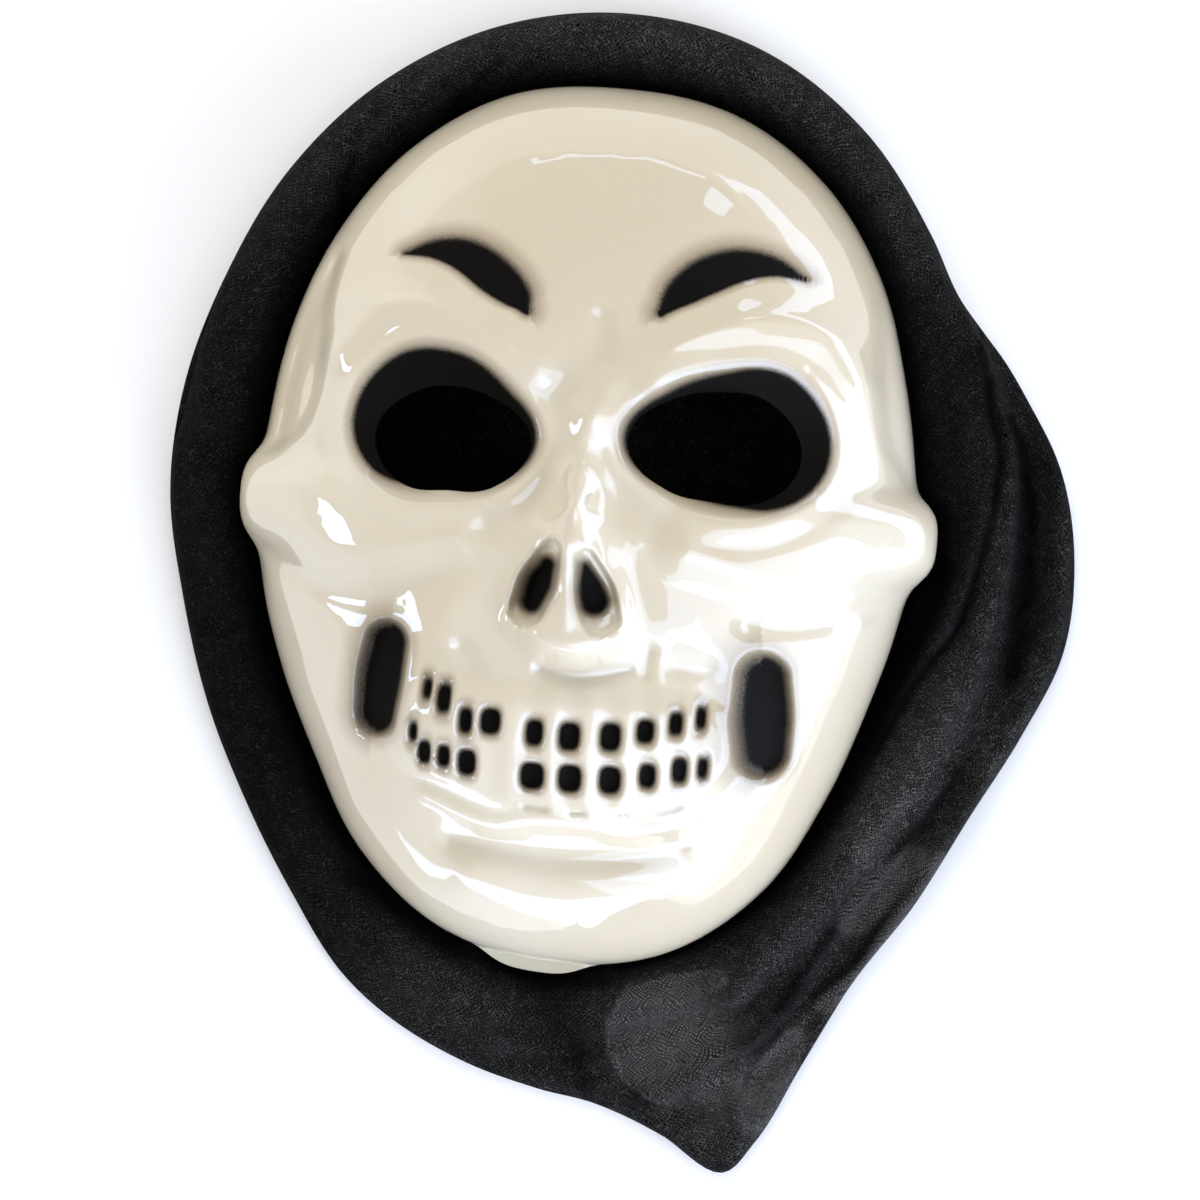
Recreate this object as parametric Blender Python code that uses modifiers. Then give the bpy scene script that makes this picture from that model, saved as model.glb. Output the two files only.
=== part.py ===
"""Skull mask with a black cloth hood, laid on its back on a flat surface.

Blender 4.5. Lengths are named in millimetres and become metres through MM where meshes are made.
The face looks up (+Z), its forehead points to +Y, and the viewer's right is +X. The plan is drawn
about the bridge of the nose, and the finished part is moved so that the middle of its box stands
on the origin.
"""
import bmesh
import bpy
import numpy as np

MM = 0.001

# Plastic face
WALL = 1.5
DOME_RISE = 70.0
DOME_PLAN_POWER = 2.6
DOME_RISE_POWER = 2.0
RIM_HEIGHT = 3.0
FLANGE_REACH = 4.5
FLANGE_THICKNESS = 1.3
FLANGE_DIRECTION = 268.0
FLANGE_SPREAD = 9.0
EDGE_FADE = 0.90
FACE_SPOKES = 184
FACE_RINGS = 120
FACE_TRIANGLES = 6300
EYE_SIDES = 44

# Cloth hood
CLOTH = 1.2
CLOTH_GAP = 0.3
GLUE_GAP = 1.0
FLAP_TOP = 13.0
ROLL_WIDTH = 25.0
ROLL_RISE = 13.0
LAID_RISE = 4.2
FOLD_SOFTNESS = 4.0
PASSAGE_HEIGHT = 2.1
RIM_CLEARANCE = 1.6
HOOD_SPOKES = 168
FRONT_RINGS = 22
BACK_RINGS = 10
SEAM_WELD = 0.01
HOOD_TRIANGLES = 2350

# Plan outline of the face without its cheekbones
FACE_OUTLINE = (
    # direction in degrees, radius
    (0, 93.5), (15, 94.5), (30, 100.0), (45, 108.7), (60, 117.0), (75, 122.4), (90, 123.2),
    (105, 122.2), (120, 116.4), (135, 108.0), (150, 100.3), (165, 94.8), (180, 92.6), (195, 92.6),
    (210, 94.8), (225, 100.2), (240, 110.4), (255, 119.4), (270, 122.0), (285, 121.4),
    (300, 114.2), (315, 104.0), (330, 96.6), (345, 93.2),
)

# Cheekbone lobes that swell the side walls
SIDE_LOBES = (
    # direction in degrees, height, half width, half height, swell
    (176.0, 26.0, 17.0, 17.0, 4.6),
    (358.0, 25.0, 18.0, 17.0, 5.2),
)

# Plan outline of the hood as it lies
HOOD_OUTLINE = (
    # direction in degrees, radius
    (0, 139.8), (12, 137.9), (20, 134.0), (26, 130.5), (31, 124.6), (36, 123.8), (45, 128.5),
    (60, 136.9), (75, 144.4), (90, 146.5), (105, 145.1), (120, 139.9), (135, 132.9), (150, 126.2),
    (165, 122.6), (180, 120.0), (195, 117.8), (210, 120.7), (225, 128.0), (236, 137.0),
    (247, 148.7), (262, 158.0), (270, 161.5), (276, 165.9), (282, 177.0), (287, 190.7),
    (290, 184.5), (296, 167.5), (303, 153.8), (316, 142.6), (327, 135.9), (339, 137.4),
    (350, 141.2),
)

# Neck opening: where the hem of the turned-under cloth lies, for each direction of the outline
NECK_OPENING = (
    # direction in degrees, x, y
    (0, 47.0, -52.0), (45, 32.0, -28.0), (90, 0.0, -19.0), (135, -29.0, -30.0),
    (180, -44.0, -56.0), (215, -50.0, -88.0), (240, -47.0, -116.0), (253, -37.0, -136.0),
    (262, -20.5, -148.5), (270, 0.0, -153.5), (277, 20.0, -157.0), (283, 38.0, -165.5),
    (287, 52.5, -174.0), (291, 60.0, -164.5), (297, 69.0, -144.0), (305, 78.0, -121.0),
    (315, 80.0, -98.0), (328, 66.0, -80.0), (343, 54.0, -65.0),
)

# The middle of the whole outline, which stands on the origin
PLAN_MIDDLE = np.array((9.98, -17.79, 0.0))

# Long folds of the cloth that swings out on the right, and the crossing folds below the chin
HOOD_FOLDS = (
    # name, rise, half width and stations (x, y)
    ("outer fold", 3.4, 6.0, ((108, 58), (122, 28), (127, -6), (118, -40), (98, -78), (80, -118))),
    ("middle fold", 4.6, 5.0, ((104, 62), (112, 30), (116, 2), (106, -44), (86, -88), (68, -138))),
    ("inner fold", 4.0, 4.5, ((104, 34), (106, 0), (98, -42), (80, -84), (62, -122), (56, -168))),
    ("chin fold", 3.2, 4.5, ((-6, -128), (6, -142), (14, -160))),
    ("left swag fold", 2.8, 6.0, ((-104, -44), (-88, -84), (-62, -118), (-30, -142), (0, -152))),
    ("hem crumple", 3.0, 4.0, ((16, -130), (20, -146), (22, -162))),
)

# Eye holes and the sockets round them, as radii about each hole's middle
LEFT_EYE = (-34.0, 18.0)
RIGHT_EYE = (35.5, 21.0)
EYE_RADII = (
    # direction in degrees, left hole, left socket, right hole, right socket
    (0, 21.2, 23.0, 22.9, 30.6),
    (45, 15.4, 20.0, 19.4, 28.4),
    (90, 14.0, 22.3, 15.4, 19.8),
    (135, 17.0, 27.6, 17.2, 19.6),
    (180, 22.0, 27.9, 23.2, 25.0),
    (225, 18.3, 21.8, 17.2, 19.2),
    (270, 14.1, 16.6, 14.3, 17.0),
    (315, 17.5, 19.6, 18.5, 21.8),
)
SOCKET_DEPTH = 8.5
SOCKET_LIP_DEPTH = 3.0
SOCKET_RIM = 3.5

# Rounded relief: each row is a soft ridge (rise above 0) or trough (rise below 0) along a line
SOFT_RELIEF = (
    # name, rise, stations (x, y, half width)
    ("forehead fullness", 4.0, ((-22, 88, 34), (0, 92, 38), (22, 88, 34))),
    ("left brow ridge", 4.6, ((-16, 36, 8), (-28, 46, 8), (-44, 49, 8), (-60, 42, 7),
                              (-68, 26, 6))),
    ("right brow ridge", 4.6, ((17, 38, 8), (29, 48, 8), (46, 52, 8), (64, 45, 7), (72, 28, 6))),
    ("left orbit edge", 3.0, ((-70, 56, 6), (-73, 40, 5), (-71, 22, 6))),
    ("right orbit edge", 3.0, ((72, 62, 6), (76, 44, 5), (75, 26, 6))),
    ("left temple", -3.4, ((-84, 60, 9), (-86, 40, 9), (-82, 24, 7))),
    ("right temple", -3.4, ((84, 66, 9), (88, 46, 9), (86, 28, 7))),
    ("nose bridge", 5.5, ((1, 36, 8), (1, 20, 6), (0, 6, 6))),
    ("nose body", 13.0, ((1, 4, 9), (0, -10, 11), (0, -22, 14), (0, -31, 15))),
    ("nose tip", 3.0, ((0, 0, 7), (1, -6, 6))),
    ("left nose wing", 2.4, ((-10, -10, 4), (-15, -22, 4), (-13, -31, 5))),
    ("right nose wing", 2.4, ((9, -9, 4), (16, -22, 4), (16, -32, 5))),
    ("left cheekbone", 8.0, ((-30, -8, 8), (-50, -11, 12), (-72, -7, 14), (-92, -2, 15))),
    ("right cheekbone", 8.0, ((32, -6, 8), (52, -8, 12), (75, -3, 14), (95, -1, 15))),
    ("left cheek crease", -4.5, ((-46, -33, 7), (-66, -33, 8), (-86, -30, 8))),
    ("right cheek crease", -4.5, ((50, -29, 7), (68, -29, 8), (88, -27, 8))),
    ("upper jaw", 6.5, ((-26, -54, 18), (3, -57, 22), (30, -54, 18))),
    ("upper gum", 2.2, ((-34, -43, 4), (-18, -46, 5), (4, -46, 5), (24, -45, 5), (40, -41, 4))),
    ("lip trough", -3.0, ((-26, -40, 5), (0, -41, 4), (28, -38, 5))),
    ("lower gum", 3.2, ((-38, -73, 4), (-20, -77, 5), (3, -79, 5), (26, -77, 5), (42, -71, 4))),
    ("chin trough", -2.6, ((-30, -86, 6), (4, -89, 6), (36, -85, 6))),
    ("chin", 4.0, ((-16, -104, 14), (4, -106, 16), (24, -103, 14))),
)

# Pits with a firm edge: eyebrows, nose pits and cheek hollows
FIRM_PITS = (
    # name, depth, edge width, stations (x, y, half width)
    ("left eyebrow", 2.6, 2.2, ((-52, 67.2, 1.0), (-44, 68.4, 2.4), (-35, 66.8, 3.8),
                                (-26.5, 62, 4.4), (-20, 57, 3.2), (-17.4, 53.5, 1.6))),
    ("right eyebrow", 2.6, 2.2, ((55, 69.6, 1.0), (47, 71.4, 2.6), (37.5, 70.2, 3.8),
                                 (29, 66.5, 4.4), (22.5, 61.2, 3.4), (18.6, 56, 1.6))),
    ("left nose recess", 4.0, 4.0, ((-4.6, -9.5, 3.0), (-7, -18, 4.8), (-9.5, -25.5, 4.6))),
    ("right nose recess", 4.0, 4.0, ((4, -11, 2.6), (7.5, -19, 4.6), (10, -26, 4.6))),
    ("left nose pit", 5.0, 2.6, ((-5.6, -13, 2.6), (-7.2, -18, 3.4), (-8.8, -23.5, 3.0))),
    ("right nose pit", 5.0, 2.6, ((4.4, -13.5, 1.8), (6.8, -18.5, 3.2), (8.6, -22.5, 3.2))),
    ("left cheek hollow", 6.0, 4.0, ((-47.5, -35.5, 5.0), (-49, -47, 6.4), (-50, -59, 5.4))),
    ("right cheek hollow", 6.0, 4.4, ((53, -36, 5.6), (54, -49, 7.4), (55, -61, 6.0))),
)

# Gaps between the teeth, one row each
TOOTH_GAPS = (
    # x, y, width, height
    (-34.6, -48.6, 2.6, 6.0), (-29.7, -50.6, 3.8, 8.0), (-23.4, -55.8, 3.6, 7.2),
    (-16.8, -55.3, 5.4, 7.0), (-5.1, -57.2, 4.6, 7.2), (4.1, -57.4, 5.6, 7.6),
    (14.7, -56.6, 5.4, 7.6), (23.6, -54.4, 4.6, 6.4), (31.3, -51.8, 3.6, 6.4),
    (37.7, -49.8, 2.8, 6.8),
    (-37.8, -60.3, 2.4, 5.6), (-34.4, -65.4, 3.8, 6.8), (-28.9, -65.8, 3.6, 6.2),
    (-22.5, -66.8, 5.0, 7.2), (-5.0, -68.7, 6.4, 7.4), (4.9, -68.5, 6.2, 7.6),
    (15.4, -68.0, 5.8, 7.6), (25.0, -66.1, 4.4, 6.8), (33.2, -64.0, 4.0, 7.4),
    (39.2, -63.1, 2.8, 6.6),
)
TOOTH_GAP_DEPTH = 3.4
TOOTH_GAP_EDGE = 1.4


def smooth(share):
    """Return the smooth step of a share, 0 below 0 and 1 above 1."""
    held = np.clip(share, 0.0, 1.0)
    return held * held * (3.0 - 2.0 * held)


def around(rows, column, direction):
    """Read a column of a table of directions as one smooth closed curve."""
    table = np.array(rows, dtype=float)
    knots = np.radians(table[:, 0])
    values = table[:, column]
    knots = np.concatenate((knots[-2:] - 2 * np.pi, knots, knots[:3] + 2 * np.pi))
    values = np.concatenate((values[-2:], values, values[:3]))
    slopes = np.gradient(values, knots)
    place = np.mod(direction, 2 * np.pi)
    left = np.clip(np.searchsorted(knots, place, side="right") - 1, 0, len(knots) - 2)
    span = knots[left + 1] - knots[left]
    t = (place - knots[left]) / span
    keep = 1 - smooth(t)
    start = values[left] * keep + values[left + 1] * (1 - keep)
    lift = slopes[left] * t * (1 - t) ** 2 - slopes[left + 1] * t ** 2 * (1 - t)
    return start + span * lift


def spread(stations, count):
    """Return count stations on a smooth open curve through the given stations."""
    table = np.array(stations, dtype=float)
    knots = np.arange(len(table))
    slopes = np.gradient(table, axis=0)
    place = np.linspace(0, len(table) - 1, count)
    left = np.clip(place.astype(int), 0, len(table) - 2)
    t = (place - knots[left])[:, None]
    keep = 1 - smooth(t)
    lift = slopes[left] * t * (1 - t) ** 2 - slopes[left + 1] * t ** 2 * (1 - t)
    return table[left] * keep + table[left + 1] * (1 - keep) + lift


def nearest(x, y, stations, count=14):
    """Return the distance to a curve of stations and the half width at its nearest place."""
    line = spread(stations, count)
    best = np.full(x.shape, np.inf)
    width = np.zeros(x.shape)
    for start, end in zip(line[:-1], line[1:]):
        run = end - start
        reach = max(run[0] ** 2 + run[1] ** 2, 1e-9)
        t = np.clip(((x - start[0]) * run[0] + (y - start[1]) * run[1]) / reach, 0, 1)
        gap = np.hypot(x - start[0] - t * run[0], y - start[1] - t * run[1])
        closer = gap < best
        best = np.where(closer, gap, best)
        width = np.where(closer, start[2] + t * run[2], width)
    return best, width


def eye_place(x, y, side):
    """Return the distance from an eye's middle, and its hole and socket radii that way."""
    middle = LEFT_EYE if side == "left" else RIGHT_EYE
    column = 1 if side == "left" else 3
    way = np.arctan2(y - middle[1], x - middle[0])
    reach = np.hypot(x - middle[0], y - middle[1])
    return reach, around(EYE_RADII, column, way), around(EYE_RADII, column + 1, way)


def socket_relief(x, y, side):
    """Return how far a socket sinks: deep under the brow, a low lip at the bottom."""
    reach, hole, socket = eye_place(x, y, side)
    middle = LEFT_EYE if side == "left" else RIGHT_EYE
    upper = smooth(0.5 + (y - middle[1]) / (2.2 * hole))
    depth = SOCKET_LIP_DEPTH + (SOCKET_DEPTH - SOCKET_LIP_DEPTH) * upper
    width = socket - hole + SOCKET_RIM
    share = smooth((socket + SOCKET_RIM * 0.4 - reach) / width)
    middling = 0.5 * (SOCKET_DEPTH + SOCKET_LIP_DEPTH)
    core = smooth(reach / hole)
    return -share * (depth * core + middling * (1 - core))


def tooth_gap_relief(x, y):
    """Return the depth of the gaps between the teeth, rounded boxes in plan."""
    sunk = np.zeros(x.shape)
    for middle_x, middle_y, width, height in TOOTH_GAPS:
        reach = ((np.abs(x - middle_x) / (0.5 * width)) ** 3
                 + (np.abs(y - middle_y) / (0.5 * height)) ** 3) ** (1 / 3)
        edge = TOOTH_GAP_EDGE / (0.5 * min(width, height))
        sunk = np.maximum(sunk, smooth((1 + 0.5 * edge - reach) / edge))
    return -TOOTH_GAP_DEPTH * sunk


def relief(x, y):
    """Return the height of the skull's relief above the plain dome at a place in plan."""
    height = np.zeros(x.shape)
    for _, rise, stations in SOFT_RELIEF:
        gap, width = nearest(x, y, stations)
        height += rise * np.exp(-(gap / width) ** 2)
    for side in ("left", "right"):
        height += socket_relief(x, y, side)
    for _, depth, edge, stations in FIRM_PITS:
        gap, width = nearest(x, y, stations)
        height -= depth * smooth((width + 0.5 * edge - gap) / edge)
    return height + tooth_gap_relief(x, y)


def wall_swell(direction, height):
    """Return how far the cheekbone lobes push the side wall outwards."""
    swell = np.zeros(np.broadcast(direction, height).shape)
    for lobe, middle, half_width, half_height, push in SIDE_LOBES:
        turn = np.angle(np.exp(1j * (direction - np.radians(lobe))))
        along = turn * around(FACE_OUTLINE, 1, np.radians(lobe)) / half_width
        swell += push * np.exp(-along ** 2 - ((height - middle) / half_height) ** 2)
    return swell


def flange_share(direction):
    """Return 1 at the middle of the chin flange and 0 away from it."""
    turn = np.angle(np.exp(1j * (direction - np.radians(FLANGE_DIRECTION))))
    return np.exp(-(turn / np.radians(FLANGE_SPREAD)) ** 4)


def face_wall(direction, lean, inset):
    """Return points of the face's wall.

    The plain dome is a superellipse turned about the bridge of the nose: its lean runs from 0 at
    the middle to a right angle at the rim. The relief is added upwards and fades at the rim. The
    inner wall, inset by the wall's thickness, takes the lowest relief within that distance.
    """
    ring = np.sin(lean) ** (2 / DOME_PLAN_POWER)
    rise = (DOME_RISE - inset) * np.cos(lean) ** (2 / DOME_RISE_POWER)
    reach = (around(FACE_OUTLINE, 1, direction) - inset + wall_swell(direction, rise)) * ring
    x = reach * np.cos(direction)
    y = reach * np.sin(direction)
    shape = relief(x, y)
    if inset:
        for step_x, step_y in ((inset, 0), (-inset, 0), (0, inset), (0, -inset)):
            shape = np.minimum(shape, relief(x + step_x, y + step_y))
    fade = smooth((1 - ring) / (1 - EDGE_FADE))
    return np.stack((x, y, RIM_HEIGHT + rise + shape * fade), axis=-1)


def face_points(globe):
    """Lay a unit globe's points on the face: north half outside, equator on the rim's foot."""
    direction = np.arctan2(globe[:, 1], globe[:, 0])
    share = np.arccos(np.clip(globe[:, 2], -1, 1)) / np.pi
    step = 1 / FACE_RINGS
    last = 0.5 - step
    outer = share < 0.5 - 0.5 * step
    inner = share > 0.5 + 0.5 * step
    lean_out = np.clip(share / last, 0, 1) * np.pi / 2
    lean_in = np.clip((1 - share) / last, 0, 1) * np.pi / 2
    placed = np.zeros(globe.shape)
    placed[outer] = face_wall(direction[outer], lean_out[outer], 0.0)
    placed[inner] = face_wall(direction[inner], lean_in[inner], WALL)
    edge = outer & (share > last - 0.5 * step)
    foot = ~(outer | inner)
    wall_reach = around(FACE_OUTLINE, 1, direction)
    flange = flange_share(direction)
    edge_reach = wall_reach + FLANGE_REACH * flange
    foot_reach = wall_reach - 0.5 * WALL + (FLANGE_REACH + 0.5 * WALL) * flange
    for ring, reach, lift in ((edge, edge_reach, FLANGE_THICKNESS * flange), (foot, foot_reach, 0)):
        placed[ring, 0] = (reach * np.cos(direction))[ring]
        placed[ring, 1] = (reach * np.sin(direction))[ring]
        placed[ring, 2] = (RIM_HEIGHT + lift * np.ones(reach.shape))[ring]
    return placed


def hood_front(direction, rim, fold, count):
    """Return the rings of the cloth from the face's rim out to the folded outer edge.

    Beside the rim the cloth rolls up: its height is half an ellipse across the roll's width.
    Beyond it the cloth lies in a low double layer that carries the long folds.
    """
    width = fold - rim
    roll = np.minimum(width, ROLL_WIDTH)
    rings = []
    for share in 0.5 - 0.5 * np.cos(np.pi * np.linspace(0, 1, count)):
        gap = width * share
        x = (rim + gap) * np.cos(direction)
        y = (rim + gap) * np.sin(direction)
        across = np.clip(2 * gap / roll - 1, -1, 1)
        rolled = ROLL_RISE * np.sqrt(1 - across ** 2)
        laid = np.where(width > ROLL_WIDTH, LAID_RISE, 0.0) * smooth(gap / roll)
        lying = laid + hood_folds(x, y) * smooth(gap / FOLD_SOFTNESS / 3)
        height = (rolled ** 4 + lying ** 4) ** 0.25
        edge = np.clip((gap - width + FOLD_SOFTNESS) / FOLD_SOFTNESS, 0, 1)
        start = np.clip(1 - gap / FOLD_SOFTNESS, 0, 1)
        height = height * np.sqrt(1 - edge ** 2) * np.sqrt(1 - start ** 2)
        rings.append(np.stack((x, y, PASSAGE_HEIGHT + height), axis=-1))
    return rings


def hood_folds(x, y):
    """Return how high the long folds of the cloth stand at a place in plan."""
    height = np.zeros(x.shape)
    for _, rise, half_width, stations in HOOD_FOLDS:
        line = [(along, across, half_width) for along, across in stations]
        gap, width = nearest(x, y, line)
        height += rise * np.exp(-(gap / width) ** 2)
    return height


def hood_rings(direction):
    """Return the cloth's rings, from the glued edge inside the face to the hem at the neck."""
    wall_reach = around(FACE_OUTLINE, 1, direction)
    rim = wall_reach + (FLANGE_REACH + CLOTH_GAP) * flange_share(direction) + RIM_CLEARANCE
    fold = around(HOOD_OUTLINE, 1, direction) - 0.5 * CLOTH
    glued = wall_reach - WALL - GLUE_GAP - 0.5 * CLOTH
    rings = []
    for height in np.linspace(FLAP_TOP, RIM_HEIGHT + 1.4, 4):
        lean = np.arccos((height - RIM_HEIGHT) / DOME_RISE)
        drawn_in = wall_reach * (1 - np.sin(lean) ** (2 / DOME_PLAN_POWER))
        rings.append(ring_points(direction, glued - drawn_in, height))
    rings.append(ring_points(direction, glued + 0.4, PASSAGE_HEIGHT + 0.6))
    rings.append(ring_points(direction, glued + 1.5, PASSAGE_HEIGHT))
    rings += hood_front(direction, rim, fold, FRONT_RINGS)
    rings.append(ring_points(direction, fold - 0.3, 0.5 * (PASSAGE_HEIGHT + 0.5 * CLOTH)))
    opening = np.stack(
        (around(NECK_OPENING, 1, direction), around(NECK_OPENING, 2, direction)), axis=-1)
    turned = ring_points(direction, fold - 1.2, 0.5 * CLOTH)
    for share in np.linspace(0, 1, BACK_RINGS):
        ring = turned.copy()
        ring[:, :2] += (opening - turned[:, :2]) * share
        rings.append(ring)
    return rings


def ring_points(direction, reach, height):
    """Return points round the pole at a plan radius and a height."""
    reach = reach * np.ones(direction.shape)
    height = height * np.ones(direction.shape)
    return np.stack((reach * np.cos(direction), reach * np.sin(direction), height), axis=-1)


def coordinates(mesh):
    """Return a mesh's vertex positions as rows."""
    flat = np.zeros(len(mesh.vertices) * 3)
    mesh.vertices.foreach_get("co", flat)
    return flat.reshape(-1, 3)


def place(mesh, points):
    """Write points in millimetres of the plan into a mesh, standing on the origin."""
    metres = (points - PLAN_MIDDLE) * MM
    mesh.vertices.foreach_set("co", metres.ravel())
    mesh.update()


def add_object(name, mesh, collection, material=None):
    """Put a mesh in a collection under its name, with its material."""
    item = bpy.data.objects.new(name, mesh)
    collection.objects.link(item)
    if material:
        mesh.materials.append(material)
    return item


def finish_material(name, colour, roughness, coat):
    """Make a Principled material from a colour, a roughness and a clear coat."""
    material = bpy.data.materials.new(name)
    material.use_nodes = True
    shader = material.node_tree.nodes["Principled BSDF"]
    shader.inputs["Base Color"].default_value = (*colour, 1.0)
    shader.inputs["Roughness"].default_value = roughness
    shader.inputs["Coat Weight"].default_value = coat
    shader.inputs["Metallic"].default_value = 0.0
    material.diffuse_color = (*colour, 1.0)
    return material


def thin(item, triangles):
    """Reduce an object to about a number of triangles with a Decimate modifier."""
    item.data.calc_loop_triangles()
    decimate = item.modifiers.new("thin", "DECIMATE")
    decimate.ratio = triangles / len(item.data.loop_triangles)
    decimate.use_collapse_triangulate = True


def make_eye_cutter(side, cutters):
    """Make the upright plug that cuts one eye hole."""
    form = bmesh.new()
    bmesh.ops.create_cone(form, cap_ends=True, segments=EYE_SIDES, radius1=1, radius2=1, depth=2)
    mesh = bpy.data.meshes.new(side + "_eye_cutter")
    form.to_mesh(mesh)
    form.free()
    points = coordinates(mesh)
    way = np.arctan2(points[:, 1], points[:, 0])
    middle = LEFT_EYE if side == "left" else RIGHT_EYE
    reach = around(EYE_RADII, 1 if side == "left" else 3, way)
    high = points[:, 2] > 0
    points[:, 0] = middle[0] + reach * np.cos(way)
    points[:, 1] = middle[1] + reach * np.sin(way)
    points[:, 2] = np.where(high, RIM_HEIGHT + 1.5 * DOME_RISE, RIM_HEIGHT + 0.3 * DOME_RISE)
    place(mesh, points)
    cutter = add_object(side + "_eye_cutter", mesh, cutters)
    cutter.hide_render = True
    cutter.display_type = "WIRE"
    return cutter


def make_mask_shell(collection, cutters):
    """Make the plastic face: one thin wall with its relief and its two eye holes."""
    form = bmesh.new()
    bmesh.ops.create_uvsphere(
        form, u_segments=FACE_SPOKES, v_segments=FACE_RINGS, radius=1.0)
    mesh = bpy.data.meshes.new("mask_shell")
    form.to_mesh(mesh)
    form.free()
    place(mesh, face_points(coordinates(mesh)))
    mesh.shade_smooth()
    plastic = finish_material("ivory_plastic", (0.72, 0.66, 0.53), 0.12, 0.6)
    shell = add_object("mask_shell", mesh, collection, plastic)
    thin(shell, FACE_TRIANGLES)
    for side in ("left", "right"):
        cut = shell.modifiers.new(side + " eye", "BOOLEAN")
        cut.operation = "DIFFERENCE"
        cut.solver = "EXACT"
        cut.object = make_eye_cutter(side, cutters)
    return shell


def make_hood(collection):
    """Make the cloth hood: one ring-shaped sheet with a wall of the cloth's thickness."""
    direction = np.radians(np.linspace(0, 360, HOOD_SPOKES + 1))
    rings = np.stack(hood_rings(direction))
    count = len(rings)
    form = bmesh.new()
    bmesh.ops.create_grid(form, x_segments=HOOD_SPOKES, y_segments=count - 1, size=1.0)
    mesh = bpy.data.meshes.new("hood")
    form.to_mesh(mesh)
    form.free()
    flat = coordinates(mesh)
    spoke = np.rint((flat[:, 0] + 1) / 2 * HOOD_SPOKES).astype(int)
    ring = np.rint((flat[:, 1] + 1) / 2 * (count - 1)).astype(int)
    place(mesh, rings[ring, spoke])
    form = bmesh.new()
    form.from_mesh(mesh)
    bmesh.ops.remove_doubles(form, verts=form.verts, dist=SEAM_WELD * MM)
    bmesh.ops.recalc_face_normals(form, faces=form.faces)
    form.to_mesh(mesh)
    form.free()
    cloth = finish_material("black_cloth", (0.022, 0.021, 0.021), 0.85, 0.0)
    hood = add_object("hood", mesh, collection, cloth)
    thin(hood, HOOD_TRIANGLES)
    wall = hood.modifiers.new("cloth thickness", "SOLIDIFY")
    wall.thickness = CLOTH * MM
    wall.offset = 0.0
    return hood


def clear_scene():
    """Remove the objects that the opened file holds."""
    for item in list(bpy.data.objects):
        bpy.data.objects.remove(item, do_unlink=True)


def build():
    """Build the skull mask."""
    clear_scene()
    parts = bpy.data.collections.new("skull_mask")
    cutters = bpy.data.collections.new("cutters")
    bpy.context.scene.collection.children.link(parts)
    bpy.context.scene.collection.children.link(cutters)
    cutters.hide_render = True
    make_mask_shell(parts, cutters)
    make_hood(parts)


build()
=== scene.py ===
"""Looks of a skull mask with a black cloth hood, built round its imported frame.

Lengths are in millimetres of the plan, whose middle is the bridge of the nose, and become metres
of the frame through ``to_frame``. The face looks up (+Z) and its forehead points to +Y.
"""
import logging
from dataclasses import dataclass
from enum import Enum
from typing import Optional

import bmesh
import bpy
import numpy as np
from mathutils import Matrix, Vector


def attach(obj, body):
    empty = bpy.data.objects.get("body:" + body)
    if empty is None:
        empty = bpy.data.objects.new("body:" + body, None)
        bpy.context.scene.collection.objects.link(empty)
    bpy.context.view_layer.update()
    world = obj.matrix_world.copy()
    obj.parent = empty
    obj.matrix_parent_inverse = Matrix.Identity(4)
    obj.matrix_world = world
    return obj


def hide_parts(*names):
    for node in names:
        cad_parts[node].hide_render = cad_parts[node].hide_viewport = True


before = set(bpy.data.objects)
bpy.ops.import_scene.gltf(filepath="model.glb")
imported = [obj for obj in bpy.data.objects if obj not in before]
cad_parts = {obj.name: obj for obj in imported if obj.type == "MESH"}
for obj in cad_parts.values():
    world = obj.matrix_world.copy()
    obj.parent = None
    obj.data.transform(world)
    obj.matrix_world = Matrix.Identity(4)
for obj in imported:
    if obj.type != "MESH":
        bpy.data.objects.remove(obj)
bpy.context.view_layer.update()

LOG = logging.getLogger("skull_mask")

MM = 0.001
PLAN_MIDDLE = (9.98, -17.79)
ROOT = "root"

Array = np.ndarray
Station = tuple[float, ...]


class Border(Enum):
    """The open borders where the face's outer and inner sheets are joined."""

    RIM = "rim"
    LEFT_EYE = "left eye"
    RIGHT_EYE = "right eye"


def to_frame(points: Array) -> Array:
    """Turn plan points into the frame: take off the plan's middle, then millimetres to metres."""
    return (points - np.array((*PLAN_MIDDLE, 0.0))) * MM


def smooth_step(share: Array) -> Array:
    """Return 3t^2 - 2t^3 of a share held between 0 and 1."""
    held = np.clip(share, 0.0, 1.0)
    return held * held * (3.0 - 2.0 * held)


def cubic(values: Array, slopes: Array, left: Array, t: Array, span: Array | float) -> Array:
    """Read cubic pieces that take the value and the slope of the knots at both ends.

    Args:
        values: The value at each knot.
        slopes: The slope at each knot.
        left: The number of the knot on the left of each place.
        t: The share of the way to the next knot.
        span: The length of the piece.

    Returns:
        The value at each place.
    """
    keep = 1 - smooth_step(t)
    lift = slopes[left] * t * (1 - t) ** 2 - slopes[left + 1] * t ** 2 * (1 - t)
    return values[left] * keep + values[left + 1] * (1 - keep) + span * lift


def turn_from(direction: Array, degrees: float) -> Array:
    """Return the turn in radians from a direction in degrees, between minus pi and pi."""
    return np.angle(np.exp(1j * (direction - np.radians(degrees))))


def even_directions(count: int) -> Array:
    """Return directions in radians, spread evenly once round the plan."""
    return np.linspace(0, 2 * np.pi, count, endpoint=False)


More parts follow.
